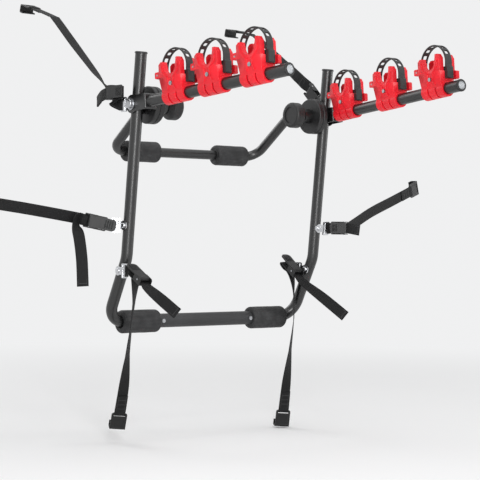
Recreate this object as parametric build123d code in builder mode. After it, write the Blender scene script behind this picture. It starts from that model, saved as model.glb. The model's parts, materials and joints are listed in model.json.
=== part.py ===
from build123d import *
from math import cos, radians, sin, tan
import os

# A three-bike rack that straps to the back of a car, in millimetres.
# X runs across the car, Y towards the car and Z up.
# The origin lies between the lower rollers, on the face that they press on.

os.makedirs("parts", exist_ok=True)
sides = {"left": -1, "right": 1}

# Overall sizes
frame_half_width = 268      # middle of a leg from the middle of the rack
hub_height = 477            # hub axis above the lower rollers
hub_setback = 138           # hub axis behind the face that the lower rollers press on
arm_length = 480            # hub axis to the arm's end
running_gap = 0.3           # between pieces that turn past each other
fit_gap = 0.1               # round pins, bolts and plugs
overrun = 5                 # how far a cut runs past its piece

# Legs and lower bar
leg_diameter = 25.4
leg_wall = 1.8
leg_lean = 6.3              # degrees, with the tops to the rear
leg_rise = 109              # leg above the hub axis
knee_drop = 334             # knee below the hub axis
knee_radius = 60
ankle_radius = 45
leg_stub_end = 110          # end of a leg inside the lower bar, from the middle
bar_diameter = 31.8
bar_half_length = 214
leg_cap_height = 9
leg_cap_rim = 1.4
leg_cap_corner = 3
leg_plug_depth = 16
sleeve_screw_place = 126
sleeve_screw_diameter = 5
sleeve_screw_head = 2.4
sleeve_screw_head_diameter = 9

# Foam rollers
lower_roller_diameter = 52
lower_roller_length = 100
lower_roller_place = 184    # middle of a roller from the middle of the rack
upper_roller_diameter = 48
upper_roller_length = 91
upper_roller_place = 129
roller_corner = 7
roller_stretch = 1.9        # room round the bent leg at a lower roller's outer end

# Upper hoop
hoop_diameter = 22.2
hoop_wall = 1.6
hoop_reach = 187            # crossbar in front of the hub axis
hoop_drop = 90              # crossbar below the hub axis
hoop_shoulder = 62          # bend of a side tube in front of the hub axis
hoop_shoulder_radius = 55
hoop_corner_radius = 34

# Hub stack, measured inwards from the middle of the leg
ear_gap = 0.4
ear_thickness = 3
ear_radius = 20
fork_height = 34
fork_length = 50            # hub axis to the face that carries the arm tube
fork_corner = 4
disc_diameter = 82
disc_boss_diameter = 40
disc_boss_length = 6
disc_thickness = 12
disc_corner = 3
hoop_disc_thickness = 12.5
eye_length = 23
eye_diameter = 34
washer_thickness = 2
washer_diameter = 26
knob_diameter = 59
knob_length = 33
knob_neck_diameter = 36
knob_shoulder = 10
knob_corner = 6
knob_recess = 2
knob_recess_diameter = 38
nut_across = 17
nut_thickness = 8
nut_depth = 3
bolt_diameter = 10
bolt_tip = 14               # bolt's end short of the knob's end
bolt_head_diameter = 20
bolt_head_height = 5.5
bolt_head_corner = 3.6

# Arms
arm_tilt = 5                # degrees above level
arm_toe = 4                 # degrees inwards, from the fork
arm_diameter = 25.4
arm_wall = 1.6
arm_cap_flange = 4
arm_cap_rim = 0.8
arm_cap_plug = 14
arm_cap_corner = 1.8
arm_dome_diameter = 17
arm_dome_recess = 1.6
arm_dome_rise = 2.2
cradle_places = {"left": (142, 258, 386), "right": (88, 246, 402)}

# Cradles, in a frame on the arm's axis: across, up and along the arm
cradle_length = 70
cradle_width = 44
cradle_foot_width = 34
cradle_foot = 4             # underside of the body above the arm's axis
cradle_foot_inset = 4
cradle_shoulder = 38
trough_radius = 18
trough_height = 60          # middle of the carried tube above the arm's axis
trough_flare = 2
prong_brow = 66
far_prong_height = 71
near_prong_height = 75
prong_top = (21, 29)        # ends of a prong's top from the middle of the cradle
prong_slot_width = 20
prong_slot_floor = 38
ring_diameter = 35
ring_width = 20
ring_shares = (-0.35, 0, 0.35)
rib_depth = 1.6
rib_width = 4
rib_corners = ((26, 62), (24, 48), (8, 34), (8, 20), (13, 10))  # along the arm and up
far_lug = (12, 14, 12)      # along the arm, up and across
far_lug_level = 45
near_lug = (11, 18, 9)
near_lug_level = 29
lug_corner = 3.7
short_lug_share = 0.6       # length of the lug on the cradle's right side
cradle_corner = 1.5
clamp_screw_diameter = 5
clamp_screw_level = 23
clamp_head_diameter = 9
clamp_head_height = 3
clamp_seat = 18.6           # seat of the screw's head from the middle of the cradle
clamp_nut_across = 8
clamp_nut_height = 4

# Ladder straps of the cradles
ladder_width = 18
ladder_thickness = 3
ladder_radius = 40
ladder_level = 58           # middle of the arch above the arm's axis
ladder_end_angle = 10       # degrees, how far the arch goes on below its middle
ladder_window = (10, 9)
ladder_window_angles = (30, 54, 78, 102, 126, 150)
ladder_eye_diameter = 10
ladder_pin_diameter = 4
ladder_pin_place = 42       # pin from the middle of the cradle
ladder_block = (10, 26, 17)
ladder_block_top = 47
ladder_tongue = (14, 7)

# Strap brackets
plate_thickness = 2.5
plate_eye_diameter = 21
plate_neck_width = 17
plate_foot = 13             # where the band starts, and where a plate is bent
plate_length = 34
plate_width = 32
plate_corner = 3
plate_bar = 4
plate_slot = 4.5
plate_slot_width = 26
plate_bead_diameter = 3
plate_bead_place = 5
plate_bends = {"side_left": 55, "side_right": -8}
rivet_diameter = 6
rivet_head_diameter = 11
rivet_head_height = 3
rivet_head_corner = 2
rivet_grip = 4.6            # plate's underside to the rivet's tail
rivet_tail = 1.5
rivet_tail_diameter = 8

# Webbing, buckles and hooks
webbing_width = 25
webbing_thickness = 1.6
loop_thickness = 3.2
ring_play = 0.15
buckle_length = 50
buckle_width = 31
buckle_base = 2
buckle_corner = 3
anchor_bar = 2.6
anchor_slot = 4.4
feed_slot_start = 11
feed_slot = 4.6
buckle_slot_width = 26
cheek_length = 28
cheek_height = 14
cheek_thickness = 2
cheek_corner = 5
lever_pin_place = 38
lever_pin_level = 9.4
lever_pin_diameter = 4
lever_pin_overhang = 0.75
lever_width = 26
lever_length = 58           # pin to the lever's tip
lever_thickness = 3
lever_cam_radius = 5
lever_tip_corner = 9
lever_ridge = 1.2
lever_ridge_pitch = 5
lever_ridge_count = 4
# Middle of the webbing round the feed slot's edge: along from the edge, and out
feed_turn = ((2.3, 3.3), (0, 3.25), (-1.1, 2.3), (-1.4, 1))
under_turn = ((-1.1, -0.3), (0, -1.25), (2.3, -1.6))
under_drop = ((-1.4, -1), (-1.4, -3.2))
loop_lead = 1.6
seam = 0.05                 # between lengths of webbing that are sewn together
top_left_loop_thickness = 1.6
top_left_loop_end = ((9, -4.8), (3.5, -2.75), (-0.5, -2.7))
hook_width = 35
hook_length = 41
hook_thickness = 3
hook_corner = 4
hook_bend = 2
hook_outer_bend = 4
hook_panel = (22, 20)        # recess in the hook's face
hook_panel_end = 35
hook_panel_depth = 1.2
hook_bar = 4
hook_slot = (26, 4)
hook_throat = 14
hook_lip = 14
smooth_steps = 4

# Brackets: eye, direction of the arm, outward normal and bend in degrees
side_rivet_drop = 262
bottom_rivet_drop = 361
bottom_rivet_setback = 90

# Buckles: anchor end, direction to the mouth and outward normal
buckle_frames = {
    "top_left": ((-301, -128, 503), (0, 1, 0), (-1, 0, 0)),
    "top_right": ((290, -97, 518), (0, 0.72, 0.69), (-1, 0, 0)),
    "side_left": ((-306, -78, 216.5), (-0.85, 0.45, 0.2), (-0.47, -0.88, 0)),
    "side_right": ((311, -117.7, 215), (0.99, 0.14, 0), (0.14, -0.99, 0)),
    "bottom_left": ((-281, -146, 110), (0, -0.88, -0.48), (0, -0.48, 0.88)),
    "bottom_right": ((233, -47, 127), (0, -0.8, -0.6), (0, -0.6, 0.8)),
}

# Stations of the webbing, each with the direction of its width
# Sewn loops, from the bracket's bar to the buckle's
loop_stations = {
    "top_left": (((-288, -91, 480), (0, 0, 1)), ((-288.8, -83, 483), (0, 0, 1)),
                 ((-292, -78.5, 487), (0, 0, 1)), ((-295.4, -83, 491), (0, 0, 1)),
                 ((-296, -95, 496), (0, 0, 1)), ((-296.2, -112, 502), (0, 0, 1))),
    "top_right": (),
    "side_left": (),
    "side_right": (),
    "bottom_left": (((-281.8, -131, 115.6), (0.3, 0, 1)), ((-281.6, -135, 114.5), (0.8, 0, 0.8)),
                    ((-281.3, -140, 112.6), (1, 0, 0.25))),
    "bottom_right": (((253.5, -50, 116), (0.15, 0, 1)), ((250, -40, 118), (0.5, 0, 1)),
                     ((243, -34, 123), (1, 0, 0.6)), ((234.5, -37, 131), (1, 0, 0.15))),
}
# Main runs, from the buckle to the hook
run_stations = {
    "top_left": (((-280, -40, 512), (0.45, 0.35, -0.85)), ((-274, 20, 556), (1, 0, -0.3)),
                 ((-267, 120, 629), (1, 0, 0)), ((-262, 208, 696), (1, 0, 0)),
                 ((-261, 228, 706), (1, 0, 0)), ((-258, 311, 733), (1, 0, 0))),
    "top_right": (((286, -30, 575), (-0.45, 0.5, -0.6)), ((276, 30, 625), (-1, 0, -0.2)),
                  ((262, 100, 682), (-1, 0, 0)), ((261.5, 118, 693), (-1, 0, 0)),
                  ((261, 175, 708), (-1, 0, 0))),
    "side_left": (((-375, -48, 232), (-0.18, 0.09, -0.96)), ((-480, -39, 248), (0, 0, -1)),
                  ((-585, -30, 262), (0, 0, -1)), ((-650, -24, 271), (0, 0, -1))),
    "side_right": (((372, -108.9, 215.3), (0, 0, 1)), ((410, -97, 229), (0, 0, 1)),
                   ((480, -78, 256), (0, 0, 1)),
                   ((570, -57, 285), (0, 0, 1)), ((650, -38, 311), (0, 0, 1))),
    "bottom_left": (((-279, -151, 82), (0.9, 0.4, 0)), ((-275, -141, 50), (0.7, 0.7, 0)),
                    ((-270, -124, 0), (0.62, 0.78, 0)), ((-262, -98, -70), (0.8, 0.6, 0)),
                    ((-253, -72, -140), (0.99, -0.1, 0)), ((-247, -48, -200), (0.9, -0.44, 0))),
    "bottom_right": (((238, -61, 96), (0.9, 0.35, 0)), ((241, -64, 60), (0.7, 0.7, 0)),
                     ((243, -63, 0), (0.62, 0.78, 0)), ((243, -50, -80), (0.8, 0.6, 0)),
                     ((243, -37, -160), (0.99, -0.1, 0)), ((244, -26, -225), (0.9, -0.44, 0))),
}
# Free tails, from the buckle's mouth
tail_stations = {
    "top_left": (((-303.5, -50, 498), (0, 0.2, -1)), ((-299, -26, 488), (0, 0.35, -0.9))),
    "top_right": (((283.5, -46, 563), (0, 0.69, -0.72)), ((280, -34, 575), (0, 0.69, -0.72))),
    "side_left": (((-365, -57.5, 229), (-0.05, 0.1, -1)), ((-376, -66, 217), (0.45, -0.1, -0.8)),
                  ((-378, -82, 185), (0.79, -0.62, 0)), ((-379, -94, 140), (0.79, -0.62, 0)),
                  ((-383, -105, 85), (0.79, -0.62, 0))),
    "side_right": (((372, -118, 214), (0, 0, 1)), ((400, -121, 210), (0, 0, 1))),
    "bottom_left": (((-280, -204, 80), (0.97, -0.1, 0.2)), ((-273, -240, 58), (0.75, -0.3, 0.6)),
                    ((-262, -281, 31), (0.45, -0.39, 0.8))),
    "bottom_right": (((237, -110, 82), (0.97, -0.1, 0.2)), ((246, -165, 50), (0.75, -0.3, 0.6)),
                     ((262, -224, 10), (0.45, -0.39, 0.8))),
}


def on(frame, across=0, up=0, along=0):
    """The frame moved along its own three directions."""
    step = frame.x_dir * across + frame.y_dir * up + frame.z_dir * along
    return Plane(origin=frame.origin + step, x_dir=frame.x_dir, z_dir=frame.z_dir)


def flank_of(frame, across=0):
    """Seen from the side: x runs along the frame's z, y stays up."""
    origin = frame.origin + frame.x_dir * across
    return Plane(origin=origin, x_dir=frame.z_dir, z_dir=-frame.x_dir)


def top_of(frame, up=0):
    """Seen from above: x stays across, y runs back along the frame's z."""
    origin = frame.origin + frame.y_dir * up
    return Plane(origin=origin, x_dir=frame.x_dir, z_dir=frame.y_dir)


def save(part, name):
    part.label = name
    export_step(part, "parts/" + name + ".step")


# Places that several pieces share
leg_radius = leg_diameter / 2
roller_axis = -lower_roller_diameter / 2
ear_start = leg_radius + ear_gap
ear_end = ear_start + ear_thickness
disc_start = ear_end + running_gap
disc_end = disc_start + disc_boss_length + disc_thickness
hoop_disc_start = disc_end + running_gap
hoop_disc_end = hoop_disc_start + hoop_disc_thickness
eye_end = hoop_disc_end + eye_length
washer_start = eye_end + running_gap
knob_start = washer_start + washer_thickness + running_gap
knob_end = knob_start + knob_length
hoop_half_width = frame_half_width - hoop_disc_end - eye_length / 2
hanger_start = ear_end + running_gap + washer_thickness
hanger_end = hanger_start + plate_thickness


def hub_point(side):
    return Vector(side * frame_half_width, -hub_setback, hub_height)


def leg_point(side, drop):
    """A point of the leg's straight part, by its drop below the hub axis."""
    return hub_point(side) + Vector(0, drop * tan(radians(leg_lean)), -drop)


def hub_plane(side, inwards):
    """Across the hub axis, with its normal pointing to the middle of the rack."""
    origin = hub_point(side) - Vector(side * inwards, 0, 0)
    return Plane(origin=origin, x_dir=(0, -side, 0), z_dir=(-side, 0, 0))


def hub_section(side):
    """Through the hub axis: x is the distance from it, y runs inwards."""
    return Plane(origin=hub_point(side), x_dir=(0, 0, 1), z_dir=(0, -side, 0))


# Eyes of the strap brackets: x along the plate, z away from what it lies on
hanger = hanger_start
side_eye = leg_point(-1, side_rivet_drop)
rear_eye = leg_point(1, side_rivet_drop)
rear = Vector(0, -cos(radians(leg_lean)), -sin(radians(leg_lean)))
low_eye = Vector(frame_half_width, -bottom_rivet_setback, hub_height - bottom_rivet_drop)
eye_frames = {
    "top_left": Plane(hub_point(-1) - Vector(hanger, 0, 0), (0, 1, 0), (-1, 0, 0)),
    "top_right": Plane(hub_point(1) + Vector(hanger, 0, 0), (0, 1, 1), (1, 0, 0)),
    "side_left": Plane(side_eye - Vector(leg_radius, 0, 0), (0, 1, 0), (-1, 0, 0)),
    "side_right": Plane(rear_eye + rear * leg_radius, (1, 0, 0), rear),
    "bottom_left": Plane(Vector(-low_eye.X - leg_radius, low_eye.Y, low_eye.Z),
                         (0, -1, 0), (-1, 0, 0)),
    "bottom_right": Plane(low_eye - Vector(leg_radius, 0, 0), (0, 1, 0), (-1, 0, 0)),
}


# Leg tubes
for name, side in sides.items():
    top = leg_point(side, -leg_rise)
    knee = leg_point(side, knee_drop)
    ankle = Vector(side * frame_half_width, roller_axis, 0)
    stub = Vector(side * leg_stub_end, roller_axis, 0)
    with BuildPart() as leg:
        with BuildLine() as leg_path:
            FilletPolyline(top, knee, ankle, stub, radius=(knee_radius, ankle_radius))
        with BuildSketch(Plane(origin=top, z_dir=knee - top)):
            Circle(leg_radius)
            Circle(leg_radius - leg_wall, mode=Mode.SUBTRACT)
        sweep(path=leg_path.wire())
        with BuildSketch(hub_plane(side, 0)):
            Circle(bolt_diameter / 2 + fit_gap)
        extrude(amount=leg_diameter, both=True, mode=Mode.SUBTRACT)
        with BuildSketch(Plane.XZ.offset(-roller_axis)):
            with Locations((side * sleeve_screw_place, 0)):
                Circle(sleeve_screw_diameter / 2 + fit_gap)
        extrude(amount=leg_diameter, mode=Mode.SUBTRACT)
        for height in ("side", "bottom"):
            with BuildSketch(eye_frames[height + "_" + name]):
                Circle(rivet_diameter / 2 + fit_gap)
            extrude(amount=-leg_radius, mode=Mode.SUBTRACT)
    save(leg.part, name + "_leg_tube")

# Caps on the leg tops
leg_caps = []
for side in sides.values():
    top = leg_point(side, -leg_rise)
    with BuildPart() as leg_cap:
        with BuildSketch(Plane(origin=top, z_dir=top - leg_point(side, 0))):
            Circle(leg_radius + leg_cap_rim)
        extrude(amount=leg_cap_height / 2)
        fillet(leg_cap.faces().sort_by(Axis.Z)[-1].edges(), leg_cap_corner)
        with BuildSketch(Plane(origin=top, z_dir=leg_point(side, 0) - top)):
            Circle(leg_radius - leg_wall - fit_gap)
        extrude(amount=leg_plug_depth)
    leg_caps.append(leg_cap.part)
save(Compound(children=leg_caps), "leg_top_caps")

# Lower bar and its screws
with BuildPart() as lower_bar:
    with BuildSketch(Plane.YZ.offset(-bar_half_length)):
        with Locations((roller_axis, 0)):
            Circle(bar_diameter / 2)
            Circle(leg_radius + fit_gap, mode=Mode.SUBTRACT)
    extrude(amount=bar_half_length * 2)
    with BuildSketch(Plane.XZ.offset(-roller_axis)):
        with Locations((-sleeve_screw_place, 0), (sleeve_screw_place, 0)):
            Circle(sleeve_screw_diameter / 2 + fit_gap)
    extrude(amount=bar_diameter, mode=Mode.SUBTRACT)
save(lower_bar.part, "lower_bar")

screw_seat = Plane.XZ.offset(-roller_axis + bar_diameter / 2)
with BuildPart() as sleeve_screws:
    with BuildSketch(screw_seat):
        with Locations((-sleeve_screw_place, 0), (sleeve_screw_place, 0)):
            Circle(sleeve_screw_head_diameter / 2)
    extrude(amount=sleeve_screw_head)
    with BuildSketch(screw_seat):
        with Locations((-sleeve_screw_place, 0), (sleeve_screw_place, 0)):
            Circle(sleeve_screw_diameter / 2)
    extrude(amount=-(bar_diameter / 2 - leg_radius + leg_wall * 2))
save(sleeve_screws.part, "lower_bar_screws")


def make_roller(middle, length, diameter, bore):
    """A foam sleeve on a bar along X, with soft corners."""
    start = Plane.YZ.offset(middle.X - length / 2)
    with BuildPart() as roller:
        with BuildSketch(start):
            with Locations((middle.Y, middle.Z)):
                Circle(diameter / 2)
        extrude(amount=length)
        fillet(roller.edges().filter_by(GeomType.CIRCLE), roller_corner)
        with BuildSketch(start):
            with Locations((middle.Y, middle.Z)):
                Circle(bore / 2)
        extrude(amount=length, mode=Mode.SUBTRACT)
    return roller.part


# Lower rollers, which close on the leg beyond the bar's end
for name, side in sides.items():
    middle = Vector(side * lower_roller_place, roller_axis, 0)
    with BuildPart() as roller:
        add(make_roller(middle, lower_roller_length, lower_roller_diameter, leg_diameter))
        for reach, bore in ((bar_half_length + running_gap, bar_diameter / 2 + fit_gap),
                            (frame_half_width, leg_radius + roller_stretch)):
            with BuildSketch(Plane.YZ):
                with Locations((roller_axis, 0)):
                    Circle(bore)
            extrude(amount=side * reach, mode=Mode.SUBTRACT)
    save(roller.part, name + "_lower_roller")

# Hoop
hoop_axis_y = -hub_setback + hoop_reach
hoop_axis_z = hub_height - hoop_drop
hoop_start = -hub_setback + eye_diameter / 2
hoop_points = []
for side in sides.values():
    across = side * hoop_half_width
    shoulder = Vector(across, -hub_setback + hoop_shoulder, hub_height)
    ends = [Vector(across, hoop_start - hoop_wall, hub_height), shoulder,
            Vector(across, hoop_axis_y, hoop_axis_z)]
    hoop_points += ends if side < 0 else ends[::-1]
with BuildPart() as hoop_tube:
    with BuildLine() as hoop_path:
        FilletPolyline(hoop_points, radius=(hoop_shoulder_radius, hoop_corner_radius,
                                            hoop_corner_radius, hoop_shoulder_radius))
    with BuildSketch(Plane(origin=hoop_points[0], z_dir=hoop_points[1] - hoop_points[0])):
        Circle(hoop_diameter / 2)
        Circle(hoop_diameter / 2 - hoop_wall, mode=Mode.SUBTRACT)
    sweep(path=hoop_path.wire())
    for side in sides.values():
        with BuildSketch(hub_plane(side, hoop_disc_end)):
            Circle(eye_diameter / 2)
        extrude(amount=eye_length, mode=Mode.SUBTRACT)
save(hoop_tube.part, "hoop_tube")

pivot_eyes = []
for side in sides.values():
    with BuildPart() as pivot_eye:
        with BuildSketch(hub_plane(side, hoop_disc_end)):
            Circle(eye_diameter / 2)
            Circle(bolt_diameter / 2 + fit_gap, mode=Mode.SUBTRACT)
        extrude(amount=eye_length)
    pivot_eyes.append(pivot_eye.part)
save(Compound(children=pivot_eyes), "hoop_pivot_eyes")

for name, side in sides.items():
    middle = Vector(side * upper_roller_place, hoop_axis_y, hoop_axis_z)
    roller = make_roller(middle, upper_roller_length, upper_roller_diameter,
                         hoop_diameter + fit_gap * 2)
    save(roller, name + "_upper_roller")

# Hub discs
for name, side in sides.items():
    with BuildPart() as fixed_disc:
        with BuildSketch(hub_plane(side, disc_start)):
            Circle(disc_boss_diameter / 2)
        extrude(amount=disc_boss_length + disc_thickness)
        with BuildSketch(hub_plane(side, disc_start + disc_boss_length)):
            Circle(disc_diameter / 2)
        extrude(amount=disc_thickness)
        rims = fixed_disc.edges().filter_by(GeomType.CIRCLE).sort_by(SortBy.RADIUS)[-2:]
        fillet(rims, disc_corner)
        with BuildSketch(hub_plane(side, 0)):
            Circle(bolt_diameter / 2 + fit_gap)
        extrude(amount=disc_end + overrun, mode=Mode.SUBTRACT)
    save(fixed_disc.part, name + "_hub_disc")
    with BuildPart() as hoop_disc:
        with BuildSketch(hub_plane(side, hoop_disc_start)):
            Circle(disc_diameter / 2)
        extrude(amount=hoop_disc_thickness)
        fillet(hoop_disc.edges().filter_by(GeomType.CIRCLE), disc_corner)
        with BuildSketch(hub_plane(side, 0)):
            Circle(bolt_diameter / 2 + fit_gap)
        extrude(amount=hoop_disc_end + overrun, mode=Mode.SUBTRACT)
    save(hoop_disc.part, name + "_hoop_disc")

# Hand knobs and the nuts inside them
for name, side in sides.items():
    with BuildPart() as knob:
        with BuildSketch(hub_section(side)):
            with BuildLine():
                neck = knob_neck_diameter / 2
                wide = knob_diameter / 2
                Polyline((0, knob_end), (0, knob_start), (neck, knob_start),
                         (wide, knob_start + knob_shoulder), (wide, knob_end), (0, knob_end))
            make_face()
        revolve(axis=Axis(hub_point(side), (-side, 0, 0)))
        rims = knob.edges().filter_by(GeomType.CIRCLE).sort_by(SortBy.RADIUS)[-2:]
        fillet(rims, knob_corner)
        with BuildSketch(hub_plane(side, knob_end)):
            Circle(knob_recess_diameter / 2)
        extrude(amount=-knob_recess, mode=Mode.SUBTRACT)
        with BuildSketch(hub_plane(side, 0)):
            Circle(bolt_diameter / 2 + fit_gap)
        extrude(amount=knob_end - bolt_tip + fit_gap, mode=Mode.SUBTRACT)
        with BuildSketch(hub_plane(side, knob_start)):
            RegularPolygon(nut_across / 2 + fit_gap, 6, major_radius=False)
        extrude(amount=nut_depth + nut_thickness, mode=Mode.SUBTRACT)
    save(knob.part, name + "_knob")
    with BuildPart() as knob_nut:
        with BuildSketch(hub_plane(side, knob_start + nut_depth)):
            RegularPolygon(nut_across / 2, 6, major_radius=False)
            Circle(bolt_diameter / 2 + fit_gap, mode=Mode.SUBTRACT)
        extrude(amount=nut_thickness)
    save(knob_nut.part, name + "_knob_nut")

# Hub bolts and washers
hub_bolts = []
hub_washers = []
for side in sides.values():
    with BuildPart() as hub_bolt:
        with BuildSketch(hub_plane(side, -hanger_end)):
            Circle(bolt_diameter / 2)
        extrude(amount=hanger_end + knob_end - bolt_tip)
        with BuildSketch(hub_plane(side, -hanger_end)):
            Circle(bolt_head_diameter / 2)
        extrude(amount=-bolt_head_height)
        head = hub_bolt.edges().filter_by(GeomType.CIRCLE).group_by(SortBy.RADIUS)[-1]
        fillet(head.sort_by(Axis.X)[-1 if side > 0 else 0], bolt_head_corner)
    hub_bolts.append(hub_bolt.part)
    for start in (-hanger_start, washer_start):
        with BuildPart() as hub_washer:
            with BuildSketch(hub_plane(side, start)):
                Circle(washer_diameter / 2)
                Circle(bolt_diameter / 2 + fit_gap, mode=Mode.SUBTRACT)
            extrude(amount=washer_thickness)
        hub_washers.append(hub_washer.part)
save(Compound(children=hub_bolts), "hub_bolts")
save(Compound(children=hub_washers), "hub_washers")


def arm_frame(side, place=fork_length):
    """On the arm's axis: x across, y up and z along the arm, away from the car."""
    level = radians(arm_tilt)
    reach = Vector(0, -cos(level), sin(level))
    up = Vector(0, sin(level), cos(level))
    toe = radians(arm_toe)
    along = reach * cos(toe) - Vector(side * sin(toe), 0, 0)
    origin = hub_point(side) + reach * fork_length + along * (place - fork_length)
    return Plane(origin=origin, x_dir=up.cross(along), z_dir=along)


def fork_frame(side):
    """On the hub axis: x across, y up and z to the arm, without the arm's toe."""
    level = radians(arm_tilt)
    return Plane(origin=hub_point(side), x_dir=(1, 0, 0), z_dir=(0, -cos(level), sin(level)))


# Arm brackets, tubes and end caps
arm_radius = arm_diameter / 2
for name, side in sides.items():
    fork = fork_frame(side)
    with BuildPart() as arm_bracket:
        with BuildSketch(flank_of(fork, ear_end)):
            Circle(ear_radius)
            with Locations((fork_length / 2, 0)):
                Rectangle(fork_length, fork_height)
        extrude(amount=ear_end * 2)
        web = arm_bracket.faces().sort_by(Axis(fork.origin, fork.z_dir))[-1]
        fillet(web.edges(), fork_corner)
        with BuildSketch(flank_of(fork, ear_start)):
            with Locations(((fork_length - ear_thickness) / 2 - overrun, 0)):
                Rectangle(fork_length - ear_thickness + overrun * 2, ear_radius * 2 + overrun)
            with Locations((-overrun, 0)):
                Circle(ear_radius + overrun)
        extrude(amount=ear_start * 2, mode=Mode.SUBTRACT)
        with BuildSketch(hub_plane(side, 0)):
            Circle(bolt_diameter / 2 + fit_gap)
        extrude(amount=ear_end + overrun, both=True, mode=Mode.SUBTRACT)
    save(arm_bracket.part, name + "_arm_bracket")
    with BuildPart() as arm_tube:
        with BuildSketch(arm_frame(side, fork_length - arm_diameter)):
            Circle(arm_radius)
            Circle(arm_radius - arm_wall, mode=Mode.SUBTRACT)
        extrude(amount=arm_length - arm_cap_flange - fork_length + arm_diameter)
        split(bisect_by=Plane(origin=fork.origin + fork.z_dir * fork_length, z_dir=fork.z_dir))
    save(arm_tube.part, name + "_arm_tube")
    with BuildPart() as arm_cap:
        with BuildSketch(arm_frame(side, arm_length - arm_cap_flange)):
            Circle(arm_radius + arm_cap_rim)
        extrude(amount=arm_cap_flange)
        fillet(arm_cap.faces().sort_by(Axis(fork.origin, fork.z_dir))[-1].edges(), arm_cap_corner)
        with BuildSketch(arm_frame(side, arm_length)):
            Circle(arm_dome_diameter / 2)
        extrude(amount=-arm_dome_recess, mode=Mode.SUBTRACT)
        with BuildSketch(arm_frame(side, arm_length - arm_cap_flange)):
            Circle(arm_radius - arm_wall - fit_gap)
        extrude(amount=-arm_cap_plug)
        dome_base = arm_frame(side, arm_length - arm_dome_recess)
        with BuildSketch(top_of(dome_base)):
            with BuildLine():
                rim = arm_dome_diameter / 2 - fit_gap
                ThreePointArc((-rim, 0), (0, -arm_dome_rise), (rim, 0))
                Line((rim, 0), (-rim, 0))
            make_face()
            split(bisect_by=Plane.YZ)
        revolve(axis=Axis(dome_base.origin, dome_base.z_dir))
    save(arm_cap.part, name + "_arm_cap")

def cradle_outline(grow):
    """Across the arm: a cradle is narrow at its foot and upright above its shoulder."""
    foot = cradle_foot_width / 2 + grow
    wide = cradle_width / 2 + grow
    return [(-foot, cradle_foot), (-wide, cradle_shoulder), (-wide, near_prong_height),
            (wide, near_prong_height), (wide, cradle_shoulder), (foot, cradle_foot),
            (-foot, cradle_foot)]


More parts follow.
